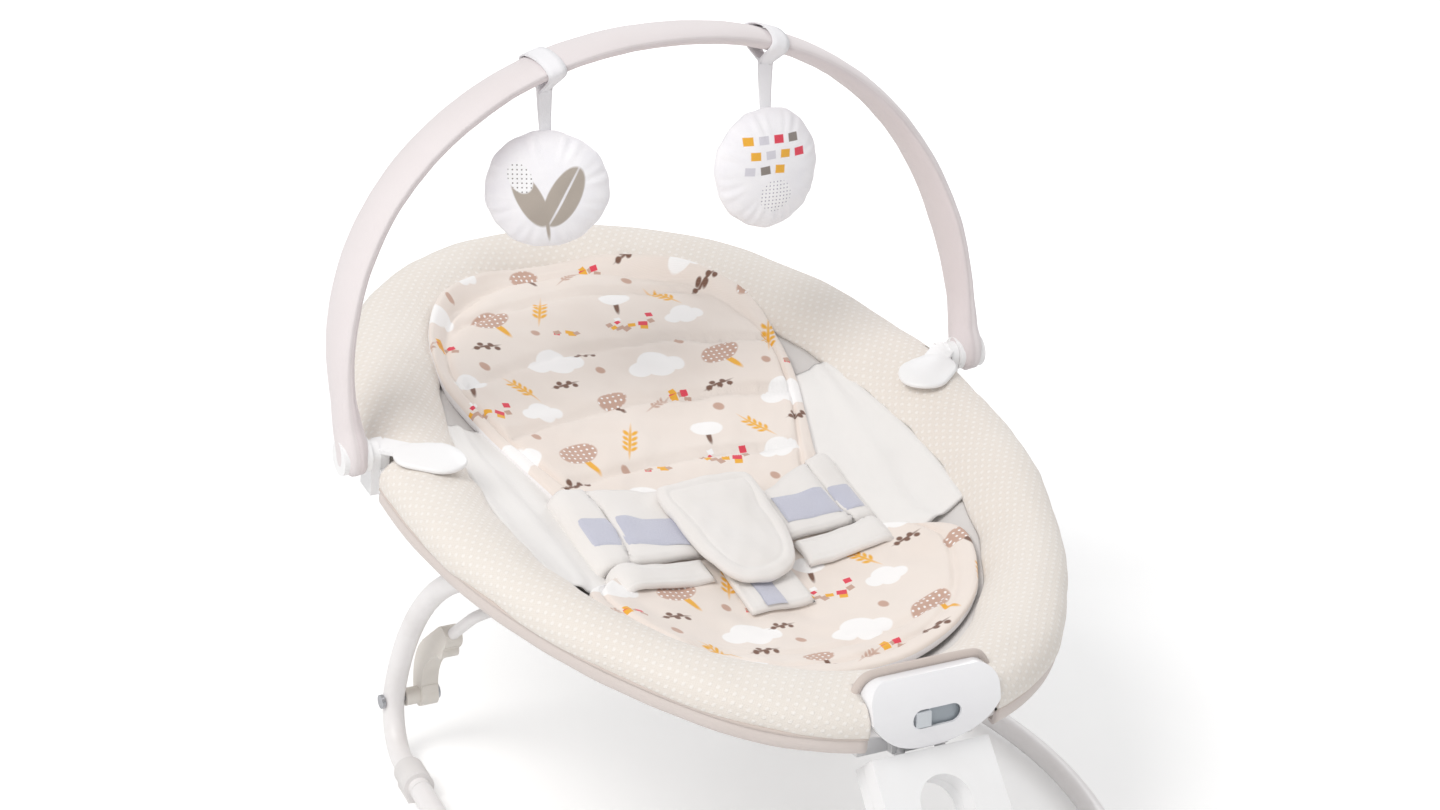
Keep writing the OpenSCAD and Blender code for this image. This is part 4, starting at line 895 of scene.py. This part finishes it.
def liner_print():
    """Beige jersey with scattered clouds, toadstools, sprigs, berries and squares, and a fine knit."""
    s = Shader("liner_print")
    uv = s.uv()
    at = pattern_point(s, uv)
    haze = s.noise(uv, 9, 4)
    ground = Print(s, at, s.mix(s.ramp(haze, 0.3, 0.72), srgb("F0E7E0"), srgb("ECE1D9")))
    for motif, *values in PRINT:
        motif(ground, *values)
    for x, y, r in ((52, 64, 3.4), (104, 96, 2.8), (56, 136, 3.0), (132, 48, 3.0)):
        ground.ink(ground.blob(x, y, r, r * 1.25, 20), DUSTY)
    knit = s.weave(uv, 0.0008)
    base = s.mix(s.ramp(knit, 0.0, 0.6, 0.10, 0), ground.base, srgb("CDBDB2"))
    normal = s.bump(s.math("ADD", knit, s.noise(uv, 700, 2)), 0.00012, 0.5)
    return s.done(base, s.ramp(haze, 0.2, 0.8, 0.78, 0.9), normal,
                  Sheen_Weight=0.25, Sheen_Roughness=0.5, Specular_IOR_Level=0.2)


M["print"] = liner_print()


def liner():
    shares = np.concatenate([np.linspace(0.02, 0.86, 60), np.linspace(0.875, 1, 16)])
    o = polar_pad("liner_pad_cloth", LINER_OUT, LINER_MID, lambda x, s, f: liner_top(x, s),
                  lambda x, s, f: soft_level(x, s), shares, 2.8, M["print"], M["back"],
                  under=14)
    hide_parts("liner_pad")


def pillow(name, grid, t, material, seams, edge_r=None, puff=0.0):
    """A padded strip over a grid of points: rounded edges, sewn lines and a crown."""
    p = np.asarray(grid, float)
    n, m = p.shape[:2]
    nrm = unit(np.cross(np.gradient(p, axis=0), np.gradient(p, axis=1)))
    if nrm[n // 2, m // 2, 2] < 0:
        nrm = -nrm
    run_u = np.concatenate([np.zeros((1, m)), np.cumsum(np.linalg.norm(np.diff(p, axis=0), axis=2), 0)])
    run_v = np.concatenate([np.zeros((n, 1)), np.cumsum(np.linalg.norm(np.diff(p, axis=1), axis=2), 1)], 1)
    away = np.minimum(np.minimum(run_u, run_u[-1] - run_u), np.minimum(run_v, run_v[:, -1:] - run_v))
    r = edge_r or t * 0.55
    h = np.sqrt(np.clip(1 - (1 - np.clip(away / r, 0, 1)) ** 2, 0, 1))
    crown = 1 + puff * np.clip(away / (5 * r), 0, 1)
    sewn = sum(groove(away - at, 1.3) * depth for at, depth in seams)
    up = t * (0.3 + 0.7 * h * crown) - sewn
    low = t * (0.3 - 0.3 * h)
    pts = np.concatenate([(p + nrm * level[:, :, None]).reshape(-1, 3) for level in (up, low)])
    uv = np.stack([run_u, run_v], -1).reshape(-1, 2) * MM
    o = add_mesh(name, pts, shell_faces(n, m), material, np.concatenate([uv, uv]))
    fix_normals(o, weld=True)
    return o


def liner_half(s):
    half = np.array(LINER_HALF)
    return np.interp(s, half[:, 1], half[:, 0])


def open_half(s, r):
    t = s - OPEN_MID
    length, n = (OPEN_HEAD, POWER_HEAD) if t > 0 else (OPEN_FOOT, POWER_FOOT)
    return OPEN_W * max(1e-3, r ** n - abs(t / length) ** n) ** (1 / n)


def side_panel(side):
    rows = []
    for s in np.arange(-118, 97, 4.0):
        lo, hi = float(liner_half(s)) - 6, open_half(s, 1.012)
        f = np.linspace(0, 1, 26)
        x = lo + (hi - lo) * f
        sag = pocket_level(x, np.full_like(x, s)) + 3.4
        fold = 2.6 * np.sin(f * PI) * fbm(np.stack([x, np.full_like(x, s * 0.35)], -1), 46, 41 + (side > 0))
        ridge = 3.2 * np.exp(-((f - 0.62 - 0.0012 * s) / 0.10) ** 2) * np.sin(f * PI)
        rows.append(np.stack([side * x, np.full_like(x, s), sag + fold + ridge + 2.2 * f ** 4], -1))
    o = pillow("side_panel_cloth_" + TAG[side], rows, 2.2, M["panel"], ((5.0, 0.5),))
    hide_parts("side_panel_" + TAG[side])


pocket()
liner()
for side in (-1, 1):
    side_panel(side)

# ---------------------------------------------------------------- harness
FLAT_ROWS, DROP_ROWS, WAIST_COLS, DROP_OUT, WAIST_REACH = 22, 12, 22, 7.0, 100.0


def over_waist(side, inner, turn_x, s_of, drop=13.0, lift=0.8):
    """Rows of a strip that lies on the liner from x=inner to its waist edge and turns down over it."""
    rows = []
    for i in range(FLAT_ROWS + DROP_ROWS):
        if i < FLAT_ROWS:
            f, down, out = i / (FLAT_ROWS - 1), 0.0, 0.0
        else:
            f, k = 1.0, (i - FLAT_ROWS + 1) / DROP_ROWS
            down = drop * (1 - math.cos(k * PI / 2)) if k < 0.999 else drop
            out = DROP_OUT * math.sin(k * PI / 2)
        s = np.linspace(*s_of(f), WAIST_COLS)
        xs = np.full_like(s, inner + (turn_x - inner) * f)
        w = liner_top(np.minimum(xs, WAIST_REACH), s) + lift - down
        rows.append(np.stack([side * (xs + out), s, w], -1))
    return rows


def belts(side):
    """A waist belt, the fastener on it and its tail. The left one is wider, and its fastener slants."""
    tag, left = TAG[side], side < 0
    turn_x = 108 if left else 104
    top_in, top_out = (-14, 4) if left else (-40, -6)
    pad = pillow("waist_belt_cloth_" + tag,
                 over_waist(side, 34, turn_x, lambda f: (-92, top_in + (top_out - top_in) * f)), 7.0,
                 M["harness"], ((6.0, 1.1),), puff=0.25)
    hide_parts("waist_belt_" + tag)
    stripe_s = (lambda f: (-84 + 16 * f, -52 + 18 * f)) if left else (lambda f: (-80, -50))
    stripe = pillow("belt_fastener_cloth_" + tag,
                    over_waist(side, 42, turn_x, stripe_s, lift=8.2, drop=12), 1.8,
                    M["loop"], ((2.5, 0.4),), edge_r=0.9)
    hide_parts("belt_fastener_" + tag)
    tail = pillow("belt_tail_cloth_" + tag,
                  over_waist(side, 38, turn_x - 3, lambda f: (-126 + (6 if left else 2) * (1 - f), -95)), 6.0,
                  M["harness"], ((4.5, 1.0),), puff=0.2)
    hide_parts("belt_tail_" + tag)


def flat_rows(x0, x1, s0, s1, lift, lean, n=24, m=24):
    rows = []
    for s in np.linspace(s0, s1, n):
        x = np.linspace(x0, x1, m) + lean * (s - s0)
        ss = np.full_like(x, s)
        rows.append(np.stack([x, ss, liner_top(x, ss) + lift], -1))
    return rows


def hook_loop():
    """Brushed loop tape, grey with a lilac cast."""
    s = Shader("loop_tape")
    at = s.uv()
    fuzz = s.noise(at, 1400, 3)
    patchy = s.noise(at, 40, 4)
    base = s.mix(s.ramp(fuzz, 0.3, 0.7), srgb("B4B6C8"), srgb("D2D3E0"))
    base = s.mix(s.ramp(patchy, 0.4, 0.75, 0, 0.4), base, srgb("C4C5D4"))
    return s.done(base, 0.92, s.bump(fuzz, 0.0004, 0.8), Sheen_Weight=0.5, Sheen_Roughness=0.6)


M["loop"] = hook_loop()
for side in (-1, 1):
    belts(side)
strap = pillow("crotch_strap_cloth", flat_rows(-30, 22, -164, -96, 0.8, 0.03), 6.0,
               M["harness"], ((5.0, 1.0),), puff=0.2)
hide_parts("crotch_strap")
strap_tape = pillow("crotch_fastener_cloth", flat_rows(-18, -1, -163, -126, 6.9, 0.05, n=18, m=14), 1.6,
                    M["loop"], ((2.2, 0.35),), edge_r=0.8)

PAD_HALF = [
    (-5, -138), (9, -135), (20, -126), (27, -109), (31, -86), (32, -62), (33, -42), (32, -30),
    (26, -25.5), (-5, -23)]
PAD_MID = (-5.0, -75.0)
PAD_OUT = smooth_curve(mirrored(PAD_HALF, -5), 150, closed=True)
PAD_LIFT = 10.8  # above the liner, over the belts
pad_depth = depth_inside(PAD_OUT, PAD_MID)


def crotch_pad():
    def base(x, s, f):
        return liner_top(x, s) + PAD_LIFT

    def top(x, s, f):
        d = pad_depth(x, s)
        roll = 0.9 * groove(d - 3.0, 3.5) - 0.7 * groove(d - 8.0, 2.0)
        crown = 7.0 + 3.6 * np.clip(d / 24, 0, 1) ** 0.8
        return base(x, s, f) + crown + roll + 0.5 * fbm(np.stack([x, s], -1), 40, 55)
    shares = np.concatenate([np.linspace(0.03, 0.7, 18), np.linspace(0.73, 1, 16)])
    o = polar_pad("crotch_pad_cloth", PAD_OUT, PAD_MID, top, base, shares, 3.2, M["harness"],
                  under=6)
    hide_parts("crotch_pad")


crotch_pad()

# ---------------------------------------------------------------- toy arch
ARCH_HALF, ARCH_H = 260.0, 281.0  # half span and height over the pivots
ARCH_BOW, ARCH_POWER, ARCH_LEAN, ARCH_CURL = 9.0, 2 / 2.19, 0.317, 0.00083
OVAL, END_OVAL = (24.0, 7.8), (15.5, 11.6)  # half width and half thickness
WIDEN, THICKEN = (14, 104), (8, 34)  # where each change starts, and over how far
END_TOP, END_LONG = -2, 13.4  # the rounded tips below the pivots
FORE = np.array([0, 1.0, 0])


def arch_at(turn):
    sn, cn = abs(math.sin(turn)), math.cos(turn)
    h = ARCH_H * sn ** ARCH_POWER
    out = ARCH_HALF * abs(cn) ** ARCH_POWER + ARCH_BOW * 4 * h / ARCH_H * (1 - h / ARCH_H) * math.sqrt(abs(cn))
    return np.array([math.copysign(out, cn), PIVOT[1] + ARCH_LEAN * h - ARCH_CURL * h * h, PIVOT[2] + h])


def arch_line(n):
    """The arch's centre line, with its two ends drawn down over the pivots."""
    first = math.asin((16.0 / ARCH_H) ** (1 / ARCH_POWER))
    mid = [arch_at(first + (PI - 2 * first) * i / 60) for i in range(61)]
    ends = [[261.4, PIVOT[1] - 0.5, PIVOT[2] + h] for h in (-15.2, -13.0, -8.0, -2.0, 5.0)]
    return smooth_curve(ends + mid + [[-e[0], e[1], e[2]] for e in reversed(ends)], n)


ARCH = arch_line(190)


def arch_section(height):
    """Half width and half thickness of the sleeve at a height above the pivots."""
    f, g = (min(1.0, max(0.0, (height - start) / run)) for start, run in (WIDEN, THICKEN))
    f = f * f * (3 - 2 * f)
    wide = END_OVAL[0] + (OVAL[0] - END_OVAL[0]) * f
    thick = END_OVAL[1] + (OVAL[1] - END_OVAL[1]) * g
    if height < END_TOP:
        c = math.sqrt(max(0.0, 1 - ((END_TOP - height) / END_LONG) ** 2))
        wide, thick = wide * c, thick * c
    return max(wide, 0.6), max(thick, 0.6)


def sweep(name, line, section, sides, material, shaded_side=None, ridge=0.0, wrinkle=0.0):
    """An oval section drawn along a line of points, with a seam ridge, wrinkles, and painted shade: a second
    material on the half that faces down and inwards.
    """
    p = np.asarray(line, float)
    n = len(p)
    t = unit(np.gradient(p, axis=0))
    wide = unit(FORE - t * (t @ FORE)[:, None])
    out = np.cross(wide, t)
    run = lengths(p)
    turns = np.linspace(0, 2 * PI, sides, endpoint=False)
    pts, uv = [], []
    for i in range(n):
        a, b = section(p[i][2] - PIVOT[2])
        for turn in turns:
            q = p[i] + wide[i] * a * math.cos(turn) + out[i] * b * math.sin(turn)
            if ridge:
                d = (turn - PI) * a * 0.5
                q = q + wide[i] * ridge * (groove(d, 1.5) - groove(d, 3.2) * 0.5)
            pts.append(q)
            uv.append((run[i] * MM, turn * (a + b) / 2 * MM))
    pts = np.array(pts)
    if wrinkle:
        away = pts - np.repeat(p, sides, 0)
        away /= np.maximum(np.linalg.norm(away, axis=1), 1e-6)[:, None]
        stretch = np.stack([np.repeat(run, sides), pts[:, 1] * 0.35, np.tile(turns, n) * 4], -1)
        pts = pts + away * (wrinkle * fbm(stretch, 30, 61) + wrinkle * 0.8 * fbm(pts, 90, 62))[:, None]
    faces = lidded_faces(n, sides)
    o = add_mesh(name, pts, faces, material, uv, "arch", row=True)
    # Painted shade: the second material, a slightly darker copy of the cloth, covers the half of the sleeve that
    # faces down and inwards
    if shaded_side:
        o.data.materials.append(shaded_side)
        up = 1 if out[n // 2][2] > 0 else -1
        index = np.zeros(len(faces), np.int32)
        index[:(n - 1) * sides] = np.tile(up * np.sin(turns + PI / sides) < 0, n - 1)
        o.data.polygons.foreach_set("material_index", index)
    fix_normals(o)
    return o


# A slightly darker copy of the sleeve's cloth, used as painted shade on the arch's underside and inner face
M["sleeve_in"] = plain_fabric("arch_cloth_painted_shade", "E2D9DA", "DCD2D3", 0.0008, sheen=0.3)
sleeve = sweep("arch_sleeve_cloth", ARCH, arch_section, 40, M["sleeve"], M["sleeve_in"],
               ridge=1.6, wrinkle=0.45)
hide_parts("arch_sleeve")
core = sweep("arch_strip_core", [q for q in ARCH if q[2] > PIVOT[2] + 16], lambda h: (11.5, 4.2), 16,
             M["plastic"])
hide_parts("arch_strip")

# ---------------------------------------------------------------- toys
HANG_TURN = math.acos((91.0 / ARCH_HALF) ** (1 / ARCH_POWER))
HANG = arch_at(HANG_TURN)
TOY_Y, HINGE_Z = (JOINTS["right_toy_swing"]["pos_m"][i] / MM for i in (1, 2))
LOOP_W, TAPE_T, TOY_DEEP = 15.0, 1.3, 16.0  # ribbon's width and thickness; toy's half depth
RIBBON = ((-1, -0.5), (-0.4, -0.7), (0.4, -0.7), (1, -0.5), (1, 0.5), (0.4, 0.7), (-0.4, 0.7), (-1, 0.5))


def toy_loop(side):
    """White ribbon round the sleeve, drawn together above the toy."""
    hang = HANG * [side, 1, 1]
    ahead = unit((arch_at(HANG_TURN + 0.02) - arch_at(HANG_TURN - 0.02)) * [side, 1, 1])
    out = unit(np.cross(FORE, ahead))
    if out[2] < 0:
        out = -out
    knot = np.array([hang[0], TOY_Y, HINGE_Z - 1.0])
    n = 56
    turns = [PI * 1.5 + 2 * PI * k / n for k in range(n)]
    ring = []
    for t in turns:
        q = hang + FORE * (OVAL[0] + 1.6) * math.cos(t) + out * (OVAL[1] + 2.2) * math.sin(t)
        low = max(0.0, -math.sin(t)) ** 3
        ring.append(q * (1 - 0.92 * low) + knot * 0.92 * low)
    pts, uv = [], []
    for k in range(n):
        t = unit(ring[(k + 1) % n] - ring[k - 1])
        squeeze = 1 - 0.30 * max(0.0, -math.sin(turns[k])) ** 3
        sideways = unit(ahead - t * (ahead @ t))
        normal = np.cross(sideways, t)
        for a, b in RIBBON:
            pts.append(ring[k] + sideways * a * LOOP_W / 2 * squeeze + normal * b * TAPE_T)
            uv.append((k * 0.002, (a * LOOP_W + b) * MM))
    o = add_mesh("toy_loop_ribbon_" + TAG[side], pts, grid_faces(n, len(RIBBON), True, True), M["tape"],
                 uv, "arch", row=True)
    fix_normals(o)
    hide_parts("toy_loop_" + TAG[side])


def toy_tape(side, low):
    """The ribbon from the loop down to the toy, narrower where it enters the seam."""
    rows = []
    for f in (i / 29 for i in range(30)):
        z = HINGE_Z + 5 - (HINGE_Z + 5 - low) * f
        half, y = 6.6 - 2.2 * f, TOY_Y + 0.8 * math.sin(f * PI)
        rows.append([(side * HANG[0] + half * u, y - 0.5 * math.cos(u * PI / 2), z)
                     for u in np.linspace(-1, 1, 9)])
    grid = np.array(rows)
    pts = np.concatenate([(grid + [0, y, 0]).reshape(-1, 3) for y in (0, TAPE_T * 1.2)])
    o = add_mesh("toy_tape_ribbon_" + TAG[side], pts, shell_faces(*grid.shape[:2]), M["tape"],
                 pts[:, [0, 2]] * MM, TAG[side] + "_toy", row=True)
    fix_normals(o)
    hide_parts("toy_tape_" + TAG[side])


def plush(name, motif):
    """White short-pile plush with a printed motif on the front, in millimetres from the disc's middle."""
    s = Shader(name)
    uv = s.uv()
    at = s.scaled(uv, 1000.0)
    pile = s.noise(uv, 1100, 4, 0.7)
    soft = s.noise(uv, 60, 3)
    face = Print(s, at, s.mix(s.ramp(soft, 0.3, 0.7), srgb("FBFAFD"), srgb("F6F5FA")))
    motif(face)
    base = s.mix(s.ramp(pile, 0.2, 0.5, 0.12, 0), face.base, srgb("CFCDD8"))
    return s.done(base, 0.9, s.bump(pile, 0.0005, 0.5), Sheen_Weight=0.5, Sheen_Roughness=0.5,
                  Specular_IOR_Level=0.2)


def leaf_motif(face):
    """Two broad leaves, one of them tipped white with grey dots, over a short stem."""
    face.ink(face.blob(-13, -4, 24, 9.5, 118), ASH)
    face.ink(face.blob(12, -3, 25, 12, 62), ASH)
    face.ink(face.blob(12, -3, 22, 0.8, 62), "F3F2F7")
    tip = face.blob(-20, 12, 12, 8.5, 118)
    face.ink(tip, "FBFBFD")
    face.ink(face.dotted(tip, 3.4, 0.55), "6F6A68")
    face.ink(face.blob(0, -27, 9, 1.3, 96), ASH)


def patch_motif(face):
    """A lattice of small patches above a dotted disc."""
    inks = [MUSTARD, "D9D7E0", RED, "8D857F", MUSTARD, "D9D7E0", MUSTARD, RED, "D9D7E0", "8D857F", MUSTARD]
    for k, ink in enumerate(inks):
        row, col = divmod(k, 4)
        x, y = -21 + 12.5 * col + (5 if row % 2 else 0), 25 - 11.5 * row
        face.ink(face.patch(x, y, 4.0, 3.2, 14 * math.sin(3.1 * k)), ink)
    disc = face.blob(1, -19, 13)
    face.ink(face.s.math("MULTIPLY", disc, 0.6), "FDFDFE")
    face.ink(face.dotted(disc, 3.0, 0.55), "A29FAE")


def toy(side, half_w, half_h, z, turned, seed, motif):
    """A round plush toy, turned about the vertical. Gives the height of its top."""
    rng = np.random.default_rng(seed)
    n, rings = 120, 30
    phase = rng.uniform(0, 2 * PI, 5)
    turn = np.linspace(0, 2 * PI, n, endpoint=False)
    lumpy = 1 + 0.010 * np.sin(3 * turn + phase[0]) + 0.008 * np.sin(7 * turn + phase[1]) \
        + 0.006 * np.sin(16 * turn + phase[2])
    pucker = 0.7 * np.sin(23 * turn + phase[3]) + 0.5 * np.sin(31 * turn + phase[4])
    layers = []
    for face in (-1, 1):
        part = []
        for q in np.sin(np.linspace(0.03, 1, rings) * PI / 2):
            h = TOY_DEEP * max(0.0, 1 - q ** 2.5) ** 0.56
            near = np.clip((q - 0.55) / 0.4, 0, 1) * np.clip((1 - q) / 0.05, 0, 1)
            r = q * lumpy
            x, zz = half_w * r * np.cos(turn), half_h * r * np.sin(turn)
            deep = h + 0.8 * near * pucker + 0.9 * fbm(np.stack([x, zz], -1), 40, seed) * (1 - q ** 6)
            part.append(np.stack([x, face * np.maximum(deep, 0.25), zz], -1))
        layers += part if face < 0 else part[::-1]
    pts = np.concatenate(layers + [[[0, -TOY_DEEP, 0], [0, TOY_DEEP, 0]]])
    uv = pts[:, [0, 2]] * MM
    uv[pts[:, 1] > 1.0] += 1.0  # the motif stays off the back
    c, d = math.cos(math.radians(turned)), math.sin(math.radians(turned))
    pts = np.stack([pts[:, 0] * c + pts[:, 1] * d, pts[:, 1] * c - pts[:, 0] * d, pts[:, 2]], -1)
    o = add_mesh("toy_plush_" + TAG[side], pts + [side * HANG[0], TOY_Y, z], fanned_faces(len(layers), n),
                 plush("toy_cloth_" + TAG[side], motif), uv, TAG[side] + "_toy", row=True)
    fix_normals(o)
    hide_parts("toy_" + TAG[side])
    return z + half_h


# Side, half width, half height, height of the middle, turn, seed and motif of each
TOYS = ((-1, 46.5, 44.5, 459.0, 22.0, 71, leaf_motif), (1, 43.5, 47.3, 452.0, 0.0, 72, patch_motif))
for side, *values in TOYS:
    top_z = toy(side, *values)
    toy_loop(side)
    toy_tape(side, top_z - 2.0)

# ---------------------------------------------------------------- binding beside the vibration unit
BINDING = [
    (-52.5, -277, 160), (-52.8, -278, 172), (-52.8, -279, 190), (-51.5, -280, 203),
    (-45, -280.5, 211.5), (-34, -281, 213.5), (0, -281, 214), (34, -281, 213.5), (45, -280, 211),
    (51.5, -279, 202)]
BINDING_R = 3.4
binding = tube("pod_binding", smooth_curve(BINDING, 90), BINDING_R, 12, M["hem_pipe"])

# ---------------------------------------------------------------- thumb plates of the arch clips
PLATE_TIP, PLATE_ROOT = (205.0, 11.5, 18.5), (221.0, 20.0, 15.0)  # across, along the seat, radius
PLATE_MID, PLATE_TOP, PLATE_T = (212.0, 15.0), 19.0, 3.9


def thumb_plate(side):
    """A moulded spatula over the clip's disc, drooping over the band's inner slope."""
    outline = []
    for a in np.linspace(0, 2 * PI, 96, endpoint=False):
        n = np.array([math.cos(a), math.sin(a)])
        ends = [(np.array(c[:2]) @ n + c[2], np.array(c[:2]) + c[2] * n) for c in (PLATE_TIP, PLATE_ROOT)]
        outline.append(max(ends, key=lambda e: e[0])[1])
    outline = smooth_curve(outline, 96, closed=True)
    outline[:, 0] *= side

    def top(x, s, f):
        droop = 0.011 * np.maximum(0, 200 - np.abs(x)) ** 2
        return PLATE_TOP + 1.5 * (1 - f ** 2) - 0.5 * f ** 8 - droop
    polar_pad("clip_thumb_plate_" + TAG[side], outline, (side * PLATE_MID[0], PLATE_MID[1]), top,
              lambda x, s, f: top(x, s, np.ones_like(f)) - PLATE_T, np.linspace(0.06, 1, 14), 1.6,
              M["plastic"])


for side in (-1, 1):
    thumb_plate(side)
